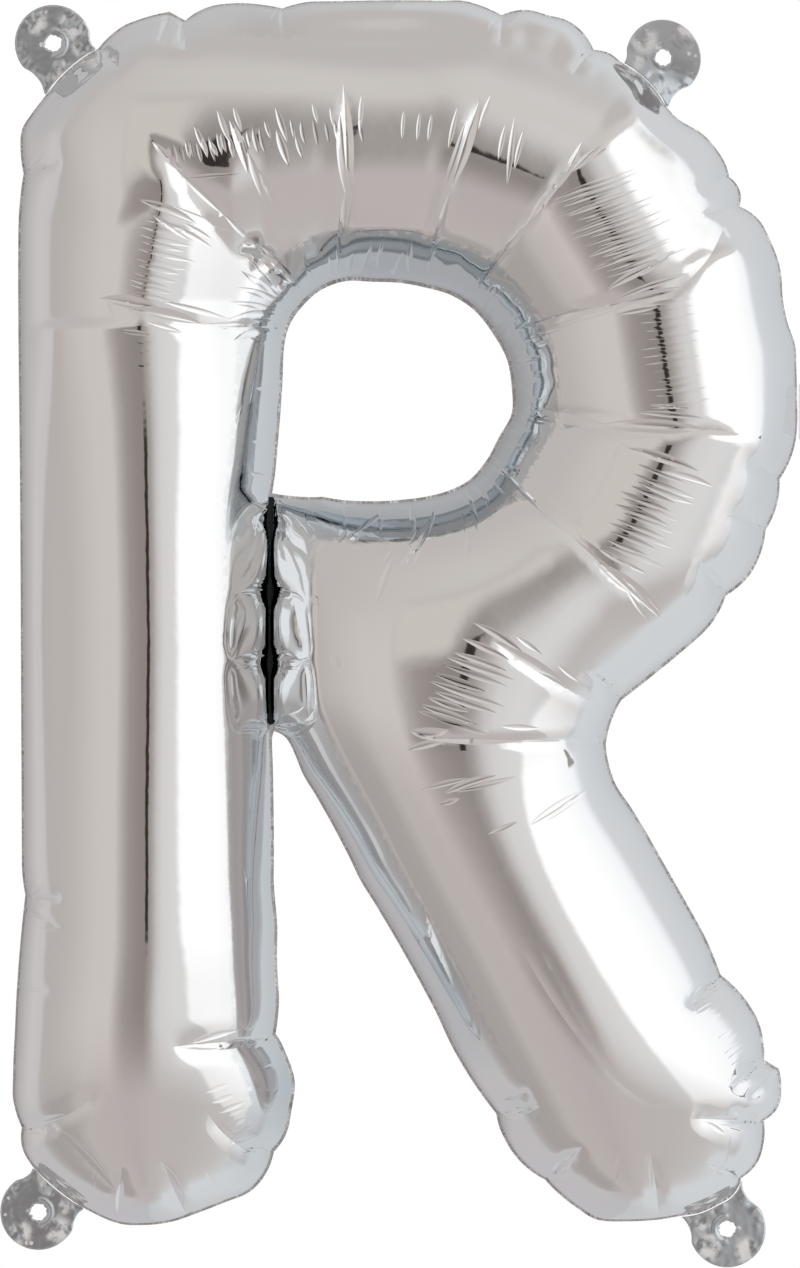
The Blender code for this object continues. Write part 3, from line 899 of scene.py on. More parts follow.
def stem_shift(points):
    """How far to the right of each point of the stem it takes its height."""
    x, z = points.T
    top, foot = stem_knots[0, 1], stem_knots[-1, 1]
    own = np.interp(-z, -stem_heights, stem_own)
    wanted = np.interp(-z, -stem_knots[:, 1], stem_knots[:, 0])
    in_stem = (x < STEM_SIDE) * smooth(z, top + STEM_TOP_FADE, top - STEM_TOP_FADE)
    return in_stem * smooth(z, foot - STEM_FOOT_FADE, foot) * (own - wanted)


def height_places(points, gap):
    """Where each point takes its height from. Its gap is how far it is from the edge."""
    held = smooth(gap, HELD_FROM, FREE_FROM)
    moved = points + bowl_shift(points) * held[:, None]
    moved[:, 0] += stem_shift(points) * held
    return moved


for (distance, normal_angle), (start, _, _), (end, _, _) in zip(bowl_lines, BENDS, BENDS[1:]):
    middle = (start + end) / 2
    wanted = distance / math.cos(math.radians(middle - normal_angle))
    print("crest from", start, "to", end, "degrees: own", round(bowl_crest(middle) / MM, 1),
          "mm, wanted", round(wanted / MM, 1), "mm")

# %% [markdown]
# ## The mitred corner
#
# At the upper left the stem and the top stroke meet like two pipes cut at an angle. On the inner side of
# the bend each keeps its own round section right up to the diagonal crease, so the height there is the
# greater of the two sections, each carried on along its own crest.

# %% The mitred corner
# Pixels along the two crests. The sections are taken at the stem's first and the top stroke's last one.
CORNER_STEM = [(146, 345), (142, 300), (152, 240), (166, 170), (168, 150)]
CORNER_TOP = [(160, 150), (232, 148), (262, 132), (330, 125)]
SECTION_PLACES = np.arange(0, 60, 0.5) * MM     # from the crest
STROKE_HALF = 30 * MM        # further out, a height that rises again belongs to the next stroke
MITRE_FADE = 6 * MM          # over this length a section takes over from the solved height


def swollen_value(points):
    """The solved height at each point, with the crests moved to where they belong."""
    return field.at(height_places(points, edge_distance(points, film_edge)[0]))


corner_stem = np.array([photo_place(*pixel) for pixel in CORNER_STEM])
corner_top = np.array([photo_place(*pixel) for pixel in CORNER_TOP])
stem_section = swollen_value(corner_stem[0] + SECTION_PLACES[:, None] * np.array((1, 0)))
top_section = swollen_value(corner_top[-1] + SECTION_PLACES[:, None] * np.array((0, -1)))
for section in (stem_section, top_section):
    section[(SECTION_PLACES > STROKE_HALF) & (section > np.roll(section, 1))] = 0


def mitred(points, heights, gap):
    """The heights, with the inner side of the corner carried on from the two straight strokes."""
    stem_x = np.interp(points[:, 1], corner_stem[:, 1], corner_stem[:, 0])
    top_z = np.interp(points[:, 0], corner_top[:, 0], corner_top[:, 1])
    right, down = points[:, 0] - stem_x, top_z - points[:, 1]
    inner = (right > 0) & (down > 0) & (points[:, 1] > corner_stem[0, 1]) & (points[:, 0] < corner_top[-1, 0])
    spot = points[inner]
    crest_of_stem = swollen_value(np.stack([stem_x[inner], spot[:, 1]], axis=1))
    crest_of_top = swollen_value(np.stack([spot[:, 0], top_z[inner]], axis=1))
    from_stem = crest_of_stem * np.interp(right[inner], SECTION_PLACES, stem_section) / stem_section[0]
    from_top = crest_of_top * np.interp(down[inner], SECTION_PLACES, top_section) / top_section[0]
    share = smooth(gap[inner], HELD_FROM, FREE_FROM)
    share *= smooth(spot[:, 1], corner_stem[0, 1], corner_stem[0, 1] + MITRE_FADE)
    share *= smooth(spot[:, 0], corner_top[-1, 0], corner_top[-1, 0] - MITRE_FADE)
    heights = heights.copy()
    heights[inner] += share * (np.maximum(from_stem, from_top) - heights[inner])
    return heights


print("sections at the corner:", np.round(np.sqrt(stem_section[::12]) / MM),
      np.round(np.sqrt(top_section[::12]) / MM))

# %% [markdown]
# ## What a crease is
#
# Where the film has too much length, air presses it into small lens-shaped dents, pointed at both ends.
# Each has a middle line and two side lines that meet it at the tips. The sides are sharp folds and the
# middle is soft, so a dent mirrors a sweep of the room: a bright half, a thin dark line and a grey half.
# Longer folds that cross a whole stroke are shallow valleys with one sharp line.

# %% Dents and valleys
VALLEY_TAPER = 5      # a valley gets shallower towards each tip, over its length divided by this


class Dent:
    """A lens-shaped fold: its middle line, how wide it is along it, and how steep its sides are."""

    def __init__(self, line, half_width, slope):
        self.line = np.array(line)
        along = np.linspace(0, 1, len(line))
        self.half_widths = half_width * 4 * along * (1 - along)
        self.slope = slope

    def side_lines(self):
        along = np.gradient(self.line, axis=0)
        left = quarter_turned(along) / np.linalg.norm(along, axis=1)[:, None]
        return [self.line + side * left * self.half_widths[:, None] for side in (1, -1)]


class Valley:
    """A long fold: its line, how far it reaches sideways, and how deep it is."""

    def __init__(self, line, reach, depth):
        self.line, self.reach, self.depth = np.array(line), reach, depth


def bowed_line(start, end, bow, step=FILM_STEP):
    """Points on a shallow arc from start to end, whose middle stands off to the left by bow."""
    chord = end - start
    count = max(4, math.ceil(np.linalg.norm(chord) / step))
    t = np.arange(count + 1)[:, None] / count
    left = np.array((-chord[1], chord[0])) / np.linalg.norm(chord)
    return start + chord * t + left * 4 * bow * t * (1 - t)


def line_reach(points, line):
    """Distance from each point to an open line, and how far along it the nearest place is, from 0 to 1."""
    best = np.full(len(points), np.inf)
    where = np.zeros(len(points))
    count = len(line) - 1
    for index in range(count):
        along = line[index + 1] - line[index]
        t = np.clip((points - line[index]) @ along / (along @ along), 0, 1)
        offset = points - line[index] - t[:, None] * along
        squared = (offset ** 2).sum(axis=1)
        nearer = squared < best
        best[nearer] = squared[nearer]
        where[nearer] = (index + t[nearer]) / count
    return np.sqrt(best), where


def near_line(points, line, reach):
    low = line.min(axis=0) - reach
    high = line.max(axis=0) + reach
    return np.flatnonzero(((points > low) & (points < high)).all(axis=1))


def pressed_depth(flat, dents, valleys):
    """How far each point is pressed in: the deepest dent over it, and all the valleys beside it."""
    pressed = np.zeros(len(flat))
    for dent in dents:
        near = near_line(flat, dent.line, dent.half_widths.max())
        distance, where = line_reach(flat[near], dent.line)
        half_width = np.interp(where, np.linspace(0, 1, len(dent.line)), dent.half_widths)
        pressed[near] = np.maximum(pressed[near], dent.slope * np.maximum(half_width - distance, 0))
    for valley in valleys:
        near = near_line(flat, valley.line, valley.reach)
        distance, where = line_reach(flat[near], valley.line)
        ends = np.minimum(1, VALLEY_TAPER * np.minimum(where, 1 - where))
        pressed[near] += valley.depth * ends * np.maximum(1 - distance / valley.reach, 0) ** 2
    return pressed


print("a dent 5 mm wide whose sides slope by 0.35 is", round(5 / 2 * 0.35, 2), "mm deep")

# %% [markdown]
# ## Creases that the photograph shows
#
# These are the folds that give this very balloon its face, read off an enlarged photograph one by one:
# from and to in pixels, half the width in pixels, the slope of the sides, and how far the middle bows.

# %% Dents, region by region
DENTS_SEEN = {
    "top stroke": [
        (343, 82, 350, 195, 5, 0.35, 2), (340, 112, 346, 195, 4, 0.35, -2), (346, 190, 337, 272, 3.5, 0.3),
        (352, 150, 345, 240, 2.5, 0.3, 2), (480, 98, 452, 188, 5, 0.35, 2), (452, 186, 427, 272, 3.5, 0.3),
        (466, 120, 440, 200, 2.5, 0.3), (217, 108, 230, 143, 3, 0.3), (229, 118, 248, 174, 5, 0.35, 2),
        (233, 105, 242, 132, 2.5, 0.3), (247, 150, 262, 197, 4, 0.35, 1), (275, 105, 288, 143, 3, 0.3),
        (276, 128, 289, 166, 4, 0.35), (266, 186, 274, 204, 2.5, 0.3), (264, 119, 271, 139, 2, 0.3),
        (295, 134, 303, 159, 2.5, 0.3), (330, 105, 334, 127, 2, 0.3), (194, 124, 208, 156, 3, 0.3),
        (209, 139, 218, 156, 2.5, 0.3), (312, 101, 318, 124, 2, 0.25), (256, 165, 276, 205, 3, 0.3),
        (515, 115, 507, 186, 3, 0.3), (506, 122, 498, 160, 2.5, 0.3), (524, 128, 514, 170, 2.5, 0.3),
        (458, 105, 448, 150, 2.5, 0.3), (362, 92, 360, 130, 2.5, 0.25), (404, 108, 402, 140, 2, 0.25),
        (420, 110, 417, 142, 2, 0.25), (432, 112, 428, 142, 2, 0.25), (492, 92, 478, 130, 2.5, 0.3),
    ],
    "diagonal": [
        (152, 141, 182, 171, 4.5, 0.4), (177, 170, 222, 214, 3, 0.35), (222, 213, 256, 245, 3, 0.35),
        (250, 240, 303, 290, 4, 0.4, 2), (180, 177, 240, 173, 2, 0.25), (138, 199, 197, 223, 4.5, 0.4, 2),
        (162, 220, 213, 247, 3, 0.35, 1), (183, 222, 212, 238, 2.5, 0.35), (150, 212, 190, 240, 3, 0.3),
        (172, 205, 235, 232, 2.5, 0.3),
    ],
    "upper left bend": [
        (98, 298, 160, 308, 5, 0.4, 3), (130, 308, 203, 323, 5.5, 0.4, 2),
        (203, 323, 283, 318, 2.5, 0.35, -2), (147, 322, 183, 332, 3, 0.35), (160, 300, 230, 318, 3, 0.35),
        (228, 318, 280, 313, 3.5, 0.35, 2), (232, 340, 280, 328, 4, 0.4, 2),
        (247, 255, 293, 302, 3.5, 0.4, 1), (262, 259, 304, 291, 3, 0.4), (240, 268, 284, 300, 3.5, 0.4),
        (236, 285, 286, 306, 3.5, 0.4, 2), (228, 300, 283, 312, 3, 0.35, 1),
        (120, 330, 150, 334, 2.5, 0.3),
    ],
    "bowl, first bend": [
        (477, 289, 530, 222, 3, 0.35), (520, 232, 575, 162, 4, 0.4, 1), (556, 190, 583, 140, 4, 0.4, -1),
        (570, 172, 600, 146, 4, 0.4), (540, 215, 578, 150, 2.5, 0.35, 2), (586, 160, 606, 148, 3, 0.35),
    ],
    "bowl, second bend": [
        (516, 329, 600, 306, 3, 0.35), (592, 312, 682, 286, 4.5, 0.4, 1),
        (606, 290, 668, 258, 4.5, 0.4, 2), (612, 300, 690, 272, 3, 0.35, 1),
        (540, 330, 640, 300, 2.5, 0.35, -1), (560, 318, 650, 292, 2, 0.3), (640, 276, 672, 252, 3, 0.35),
        (616, 314, 660, 306, 2.5, 0.3), (520, 340, 575, 322, 3, 0.35),
    ],
    "bowl, third bend": [
        (520, 406, 612, 426, 2.5, 0.35, 1), (600, 424, 710, 430, 5, 0.4, 3),
        (636, 412, 704, 418, 3, 0.35, 1), (623, 447, 699, 471, 5, 0.4, 2), (606, 440, 650, 456, 2.5, 0.3),
        (660, 471, 714, 487, 4, 0.4, 2), (628, 432, 668, 436, 2.5, 0.3), (648, 404, 690, 408, 2, 0.3),
    ],
    "bowl, fourth bend": [
        (494, 463, 560, 528, 2.5, 0.35), (556, 524, 664, 622, 3, 0.35, 1), (590, 556, 640, 600, 4, 0.4, 1),
        (600, 562, 662, 612, 5, 0.4, 2), (622, 575, 662, 620, 3.5, 0.4), (598, 548, 630, 566, 3, 0.35),
        (610, 556, 648, 574, 2.5, 0.35), (626, 590, 650, 622, 2.5, 0.35),
    ],
    "waist": [
        (473, 622, 524, 653, 4, 0.4, 2), (462, 638, 510, 660, 3.5, 0.4, 1),
        (492, 641, 570, 688, 4.5, 0.4, 3), (536, 672, 568, 688, 3.5, 0.4), (516, 636, 542, 654, 3, 0.4),
        (409, 729, 449, 729, 6, 0.4, -4), (423, 738, 524, 740, 5, 0.4), (408, 750, 443, 743, 4, 0.4, 2),
        (520, 741, 602, 736, 2, 0.3), (443, 794, 496, 775, 4, 0.4, 2), (454, 792, 518, 776, 3, 0.35),
        (440, 804, 460, 798, 3, 0.3), (528, 826, 580, 791, 3.5, 0.4, 1), (545, 822, 600, 778, 2.5, 0.35),
        (488, 834, 518, 821, 2.5, 0.35), (557, 664, 580, 682, 2.5, 0.3), (500, 726, 540, 728, 3, 0.2),
        (420, 790, 470, 778, 3, 0.35, 1), (560, 690, 613, 704, 2, 0.3),
    ],
    "under the counter": [
        (348, 528, 337, 543, 2.5, 0.35), (355, 530, 346, 540, 2, 0.3), (362, 532, 353, 544, 2, 0.3),
        (393, 549, 383, 564, 2.5, 0.35), (415, 549, 406, 568, 2.5, 0.35), (423, 546, 414, 568, 2.5, 0.35),
        (468, 531, 468, 558, 3, 0.35), (470, 495, 477, 530, 3, 0.35), (462, 512, 465, 532, 2, 0.3),
        (393, 556, 375, 605, 3.5, 0.35), (437, 503, 397, 567, 3.5, 0.35, 6), (387, 510, 352, 534, 3, 0.3),
        (312, 594, 319, 606, 4, 0.15), (330, 654, 340, 668, 5, 0.12), (430, 520, 408, 545, 3, 0.3),
    ],
    "stem foot": [
        (25, 907, 47, 920, 3, 0.35), (35, 925, 66, 931, 3, 0.25), (22, 987, 42, 990, 2.5, 0.25),
        (22, 1122, 66, 1115, 4, 0.4), (54, 1126, 117, 1193, 2, 0.3, 8), (122, 1181, 117, 1214, 4, 0.4),
        (161, 1163, 185, 1197, 3.5, 0.4, 1), (170, 1189, 187, 1214, 3, 0.35),
        (214, 1119, 246, 1151, 2.5, 0.3, 2), (245, 1150, 277, 1147, 4, 0.4),
        (191, 1044, 240, 1030, 4, 0.4, 2), (217, 1050, 272, 1035, 4.5, 0.4, 2),
        (250, 1047, 282, 1036, 3, 0.4), (176, 1046, 225, 1048, 2.5, 0.3), (262, 1068, 286, 1062, 3, 0.35),
        (96, 1170, 90, 1200, 2.5, 0.3), (205, 1172, 218, 1190, 2.5, 0.3),
    ],
    "leg foot": [
        (690, 1000, 703, 984, 3, 0.35), (699, 1001, 721, 979, 4, 0.4), (716, 990, 728, 978, 2.5, 0.35),
        (705, 1119, 762, 1122, 4.5, 0.4, 2), (720, 1125, 753, 1133, 3, 0.35),
        (706, 1122, 727, 1135, 3, 0.35), (731, 1136, 722, 1173, 2.5, 0.3),
        (710, 1166, 731, 1182, 2.5, 0.3), (652, 1189, 659, 1212, 4, 0.4), (650, 1160, 652, 1191, 2, 0.25),
        (552, 1176, 572, 1160, 4, 0.4), (570, 1161, 582, 1146, 2, 0.3), (503, 1100, 524, 1094, 3.5, 0.4),
        (746, 1064, 766, 1060, 3.5, 0.4), (620, 1150, 614, 1184, 2.5, 0.25),
    ],
    "welded stem": [
        (240, 592, 264, 588, 3.5, 0.45), (272, 588, 292, 592, 3.5, 0.45), (232, 660, 262, 655, 4, 0.45),
        (272, 655, 303, 661, 4, 0.45), (237, 729, 264, 725, 4, 0.45), (271, 725, 303, 730, 4, 0.45),
        (236, 668, 258, 664, 2.5, 0.4), (276, 664, 300, 669, 2.5, 0.4),
    ],
}


def seen_dent(x0, y0, x1, y1, half_width, slope, bow=0):
    line = bowed_line(photo_place(x0, y0), photo_place(x1, y1), bow * PHOTO_SCALE)
    return Dent(line, half_width * PHOTO_SCALE, slope)


seen_dents = [seen_dent(*numbers) for region in DENTS_SEEN.values() for numbers in region]
print(len(seen_dents), "dents in", len(DENTS_SEEN), "regions")

# %% [markdown]
# ## Long folds
#
# Where the bowl bends, where the feet turn and beside the weld between stem and leg, a fold crosses the
# whole stroke. Each is a valley, given by the pixels that it passes. One short valley more runs in from
# every pinch of the outer edge. The valleys go through both sheets.

# %% Long folds
# The pixels, and in millimetres how far the valley reaches sideways and how deep it is.
VALLEYS_SEEN = [
    ([(477, 289), (530, 221), (581, 154)], 2.8, 0.6),
    ([(516, 329), (600, 306), (681, 286), (728, 214)], 2.8, 0.5),
    ([(520, 406), (560, 422), (668, 433), (710, 429), (768, 442)], 2.8, 0.6),
    ([(494, 463), (580, 543), (661, 620)], 2.8, 0.65), ([(607, 706), (570, 690), (492, 641)], 3, 0.6),
    ([(410, 736), (524, 740), (600, 736)], 3, 0.6),
    ([(148, 133), (177, 170), (220, 212), (260, 250), (281, 269)], 7, 1.0),
    ([(100, 300), (200, 322), (276, 328)], 5, 0.8), ([(337, 272), (346, 195), (343, 82)], 2.6, 0.5),
    ([(427, 272), (450, 190), (480, 96)], 2.6, 0.5), ([(264, 508), (252, 540), (239, 590)], 3, 0.45),
    ([(239, 592), (232, 625), (232, 658)], 3, 0.5), ([(232, 661), (234, 700), (239, 728)], 3, 0.5),
    ([(276, 508), (285, 540), (292, 590)], 3, 0.45), ([(292, 592), (298, 630), (303, 658)], 3, 0.5),
    ([(303, 661), (306, 700), (303, 728)], 3, 0.5),
    ([(517, 940), (580, 1040), (642, 1100), (672, 1101)], 3, 0.15),
    ([(537, 940), (567, 995), (600, 1057)], 3, 0.1), ([(172, 1047), (230, 1042), (284, 1036)], 7, 1.3),
    ([(206, 1110), (246, 1150), (279, 1147)], 6, 1.0), ([(20, 1122), (66, 1115), (100, 1087)], 6, 0.8),
    ([(122, 1165), (117, 1216)], 5, 0.7), ([(160, 1158), (189, 1216)], 5, 0.8),
    ([(54, 1126), (117, 1193)], 4, 0.3), ([(690, 1119), (735, 1122), (768, 1123)], 7, 1.3),
    ([(684, 1008), (722, 977)], 6, 1.0), ([(738, 1066), (770, 1060)], 5, 0.9),
    ([(650, 1150), (660, 1214)], 5, 0.8), ([(582, 1146), (551, 1178)], 5, 0.8),
    ([(532, 1091), (501, 1101)], 5, 0.7), ([(20, 905), (60, 928)], 5, 0.5),
    ([(18, 987), (52, 991)], 4, 0.3),
]
PINCH_LENGTH, PINCH_REACH, PINCH_DEPTH = 12 * MM, 4.5 * MM, 0.85 * MM
PINCH_CLEAR = 6 * MM       # pinches nearer than this to the slit's middle have no valley


def seen_valley(pixels, reach, depth):
    knots = np.array([photo_place(*pixel) for pixel in pixels])
    return Valley(smooth_stretch(knots, FILM_STEP) + [knots[-1]], reach * MM, depth * MM)


edge_inward = inward_normals(film_edge)
pinch_places = [int(np.linalg.norm(film_edge - pinch, axis=1).argmin()) for pinch in pinches]
valleys = [seen_valley(*numbers) for numbers in VALLEYS_SEEN]
for place in pinch_places:
    if not (ring_inner[place] or abs(film_edge[place, 0] - SLIT_X) < PINCH_CLEAR):
        line = bowed_line(film_edge[place], film_edge[place] + PINCH_LENGTH * edge_inward[place], 0.0)
        valleys.append(Valley(line, PINCH_REACH, PINCH_DEPTH))
print(len(VALLEYS_SEEN), "long valleys and", len(valleys) - len(VALLEYS_SEEN), "at pinches")

# %% [markdown]
# ## Ribs
#
# Along a crest the spare film lies in rows of fine ribs, a few millimetres apart, and the mirrored dark
# line there becomes a zigzag. A rib is a narrow dent, so a row of them is a loop with a little chance in
# it, from a random generator with a fixed seed.

# %% Rows of ribs
# From and to along the crest, how far a rib reaches to either side as (x, y), spacing, half width, slope.
RIB_ROWS = [
    ((588, 186), (638, 266), (-46, 17), (52, -20), 5.5, 2.8, 0.22),
    ((660, 304), (677, 410), (-30, 5), (36, -6), 8, 2.6, 0.07),
    ((660, 474), (622, 552), (-30, -12), (44, 18), 7, 3.2, 0.16),
    ((466, 656), (434, 718), (-22, -8), (56, 19), 8, 3.8, 0.3),
    ((168, 153), (262, 138), (-3, -14), (4, 16), 6, 2.4, 0.22),
    ((292, 129), (360, 127), (-3, -14), (3, 18), 11, 2.4, 0.2),
    ((158, 222), (143, 296), (-22, -5), (44, 10), 7, 2.8, 0.14),
    ((215, 1090), (246, 1150), (-14, 6), (26, -10), 9, 2.8, 0.16),
    ((703, 1004), (742, 1058), (-14, 9), (16, -11), 6, 2.4, 0.2),
    ((142, 330), (143, 362), (-10, -1), (12, 1), 9, 2.6, 0.02),
]
RIB_SEED = 7
# What chance makes of a rib's place in its row, its two ends, its slope, its width and its bow.
RIB_PLACES, RIB_TAILS, RIB_TIPS = (-0.25, 0.25), (0.5, 1.0), (0.5, 1.05)
RIB_SLOPES, RIB_WIDTHS, RIB_BOWS = (0.5, 1.3), (0.8, 1.1), (-1, 1)


def rib_row(chance, start, end, back, ahead, spacing, half_width, slope):
    """The ribs of one row, each from a tail behind the crest to a tip ahead of it."""
    start, end, back, ahead = (np.array(pair, float) for pair in (start, end, back, ahead))
    count = int(np.linalg.norm(end - start) / spacing)
    ribs = []
    for index in range(count + 1):
        crest = start + (end - start) * (index + chance.uniform(*RIB_PLACES)) / max(count, 1)
        tail = crest + back * chance.uniform(*RIB_TAILS)
        tip = crest + ahead * chance.uniform(*RIB_TIPS)
        steepness = slope * chance.uniform(*RIB_SLOPES)
        width, bow = half_width * chance.uniform(*RIB_WIDTHS), chance.uniform(*RIB_BOWS)
        ribs.append(seen_dent(*tail, *tip, width, steepness, bow))
    return ribs


rib_chance = np.random.default_rng(RIB_SEED)
ribs = [rib for row in RIB_ROWS for rib in rib_row(rib_chance, *row)]
print(len(ribs), "ribs in", len(RIB_ROWS), "rows")

# %% [markdown]
# ## Gathers at the weld
#
# A weld is shorter than the film beside it wherever it curves, so the film gathers there: closely round
# the counter, and in a small fan at each pinch of the outline. Nobody could place these by hand, so
# they are drawn by chance, with another seed for the back of the balloon.

# %% Gathers
GATHER_SPACING = 2.1 * MM
# Round the counter the spacing changes at these angles, to this many times the usual between them.
GATHER_ANGLES, GATHER_STRIDES = (-55, 68, 150), (5.0, 1.0, 2.2, 5.0)
COUNTER_SWING = 22                                    # degrees
PINCH_FAN = ((11, 1.1, 8), (7, 0.8, 32), (6, 0.7, 32))    # length and half width in mm, swing
FRONT_SEED, BACK_SEED = 11, 23
# What chance draws: round the counter length and half width in mm, at a pinch their shares, and slopes.
COUNTER_LENGTHS, COUNTER_WIDTHS, COUNTER_SLOPES = (4.5, 9.5), (0.55, 1.0), (0.25, 0.55)
PINCH_LENGTHS, PINCH_WIDTHS, PINCH_SLOPES = (0.6, 1.2), (0.8, 1.2), (0.22, 0.4)
# And for every gather: how far in it starts and its bow, in mm, and the share of the spacing after it.
GATHER_STARTS, GATHER_BOWS, SPACING_SHARES = (0.3, 1.2), (-0.4, 0.4), (0.7, 1.3)


def gather(chance, index, length, half_width, slope, swing):
    """A dent that starts at a place of the weld and runs in from it, turned by up to swing degrees."""
    x, z = edge_inward[index]
    turn = math.radians(chance.uniform(-swing, swing))
    heading = np.array((x * math.cos(turn) - z * math.sin(turn), x * math.sin(turn) + z * math.cos(turn)))
    start = film_edge[index] + heading * chance.uniform(*GATHER_STARTS) * MM
    line = bowed_line(start, start + heading * length, chance.uniform(*GATHER_BOWS) * MM)
    return Dent(line, half_width, slope)


def gathers_at_weld(seed):
    """Gathers round the counter, and a small fan of them at each pinch."""
    chance = np.random.default_rng(seed)
    walked = np.concatenate([[0], np.cumsum(np.linalg.norm(np.diff(film_edge, axis=0), axis=1))])
    found = []
    next_stop = 0.0
    for index in np.flatnonzero(ring_inner):
        stride = GATHER_STRIDES[np.searchsorted(GATHER_ANGLES, edge_angle[index])]
        if walked[index] >= next_stop:
            found.append(gather(chance, index, chance.uniform(*COUNTER_LENGTHS) * MM,
                                chance.uniform(*COUNTER_WIDTHS) * MM, chance.uniform(*COUNTER_SLOPES),
                                COUNTER_SWING))
            next_stop = walked[index] + GATHER_SPACING * stride * chance.uniform(*SPACING_SHARES)
    for index in pinch_places:
        for length, half_width, swing in PINCH_FAN:
            found.append(gather(chance, index, length * chance.uniform(*PINCH_LENGTHS) * MM,
                                half_width * chance.uniform(*PINCH_WIDTHS) * MM,
                                chance.uniform(*PINCH_SLOPES), swing))
    return found


gathers = gathers_at_weld(FRONT_SEED)
print(len(gathers), "gathers")

# %% [markdown]
# ## Walls that face another stroke
#
# A wall that faces another stroke mirrors its neighbour and not the bright room, and looks darker and
# bluer in the photograph. Here that darker, bluer reflection is painted into the film's color, as a
# painted reflection. So each place of the film's edge is asked whether a line straight out of it meets
# the film again. The walls of the counter count in full, as do walls that look to the right. The
# others, and those of the slit, count in part.

# %% Walls that face another stroke
PROBES = np.arange(8, 80, 8) * MM      # how far out of the edge the other stroke is looked for
RIGHTWARD = 0.5                        # a wall looks to the right if its direction's x is over this
PART_PAINTED_REFLECTION = 0.4
PAINTED_REFLECTION_BLUR = 12       # points of the edge that the shelter is blurred over, to either side


def painted_reflection_of_edge(loop):
    """How closely each place of the edge faces another stroke, from 0 to 1."""
    outward = -edge_inward
    facing = np.zeros(len(loop), bool)
    for reach in PROBES:
        facing |= is_inside(loop + outward * reach, loop)
    painted_reflection = np.where(facing, np.where(outward[:, 0] > RIGHTWARD, 1.0, PART_PAINTED_REFLECTION), 0.0)
    painted_reflection[ring_inner] = 1.0
    painted_reflection[np.abs(loop[:, 0] - SLIT_X) < SLIT_SIDE] = PART_PAINTED_REFLECTION
    window = np.hanning(2 * PAINTED_REFLECTION_BLUR + 3)[1:-1]
    around = np.concatenate([painted_reflection[-PAINTED_REFLECTION_BLUR:], painted_reflection, painted_reflection[:PAINTED_REFLECTION_BLUR]])
    return np.convolve(around, window / window.sum(), "valid")


edge_painted_reflection = painted_reflection_of_edge(film_edge)
print("share of the edge that is well sheltered:", round(float((edge_painted_reflection > 0.5).mean()), 2))

# %% [markdown]
# ## Puckers and pillows
#
# Two soft forms are left. Round the counter's lower right the film puckers in short waves that run in
# from the weld. And beside the slit, between its pinches, the film bulges over it like a row of pillows,
# so that the dark weld shows as a few narrow diamonds.

# %% Puckers and pillows
PUCKER_WAVE, PUCKER_REACH, PUCKER_DEPTH = 4 * MM, 14 * MM, 0.45 * MM
PUCKER_RISE, PUCKER_FALL = (0, 2 * MM), (14 * MM, 3 * MM)     # from the weld
PUCKER_COMES, PUCKER_GOES = (-67, -37), (96, 56)              # round the counter, in degrees
PUCKER_RADIUS, COUNTER_RADIUS = 65 * MM, 40 * MM
PUCKER_SLOWER, PUCKER_SLICE = 0.25, 3.0     # how slowly a wave changes inwards, and which slice of the noise
PILLOW_ENDS = np.array([-195, -176.1, -155.9, -136.1, -116]) * MM
PILLOW_BULGE, PILLOW_ROUND, PILLOW_GAP = 1.7 * MM, 0.7, 0.35 * MM
PILLOW_TOP = (-126 * MM, -131 * MM)       # up there the pillows fade in,
PILLOW_RISE = (1 * MM, 8 * MM)            # and with the film's depth,
PILLOW_SIDE = (9 * MM, 3 * MM)            # and towards the slit


def puckers(flat, gap):
    """Soft waves that run in from the counter's weld and die out."""
    radius, angle = polar(flat)
    pressed = np.zeros(len(flat))
    strength = PUCKER_DEPTH * smooth(gap, *PUCKER_RISE) * smooth(gap, *PUCKER_FALL)
    strength *= smooth(angle, *PUCKER_COMES) * smooth(angle, *PUCKER_GOES)
    around = np.radians(angle) * COUNTER_RADIUS
    for index in np.flatnonzero((gap < PUCKER_REACH) & (radius < PUCKER_RADIUS)):
        spot = (around[index] / PUCKER_WAVE, PUCKER_SLOWER * gap[index] / PUCKER_WAVE, PUCKER_SLICE)
        pressed[index] = strength[index] * noise.noise(spot)
    return pressed


def over_the_slit(blown):
    """How far to the right each point moves, so that the film beside the slit bulges over it."""
    aside = blown[:, 0] - SLIT_X
    bulge = np.zeros(len(blown))
    for low, high in zip(PILLOW_ENDS[:-1], PILLOW_ENDS[1:]):
        share = np.clip((blown[:, 2] - low) / (high - low), 0, 1)
        bulge += np.sin(math.pi * share) ** PILLOW_ROUND
    bulge *= PILLOW_BULGE * smooth(blown[:, 2], *PILLOW_TOP)
    bulge *= smooth(np.abs(blown[:, 1]), *PILLOW_RISE) * smooth(np.abs(aside), *PILLOW_SIDE)
    return -np.sign(aside) * np.minimum(bulge, np.maximum(np.abs(aside) - PILLOW_GAP, 0))


print(len(PILLOW_ENDS) - 1, "pillows over the slit")

# %% [markdown]
# ## Pieces from points
#
# Film, weld and lugs are all made from lists of points and faces. Two short helpers turn such lists into
# an object, and keep a number for each point where a material can read it.

# %% Helpers for pieces
def new_piece(name, places, faces):
    mesh = bpy.data.meshes.new(name)
    mesh.from_pydata(places, [], faces)
    piece = bpy.data.objects.new(name, mesh)
    bpy.context.scene.collection.objects.link(piece)
    return piece


def keep_numbers(piece, name, values, kind="FLOAT", domain="POINT"):
    piece.data.attributes.new(name, kind, domain).data.foreach_set("value", values)


def point_normals(points, faces):
    """The direction that each point's triangles face on average, the larger ones more."""
    a, b, c = points[faces[:, 0]], points[faces[:, 1]], points[faces[:, 2]]
    across = np.cross(b - a, c - a)
    normals = np.zeros_like(points)
    for corner in range(3):
        for axis in range(3):
            normals[:, axis] += np.bincount(faces[:, corner], across[:, axis], len(points))
    return normals / np.linalg.norm(normals, axis=1)[:, None]


print("helpers ready")
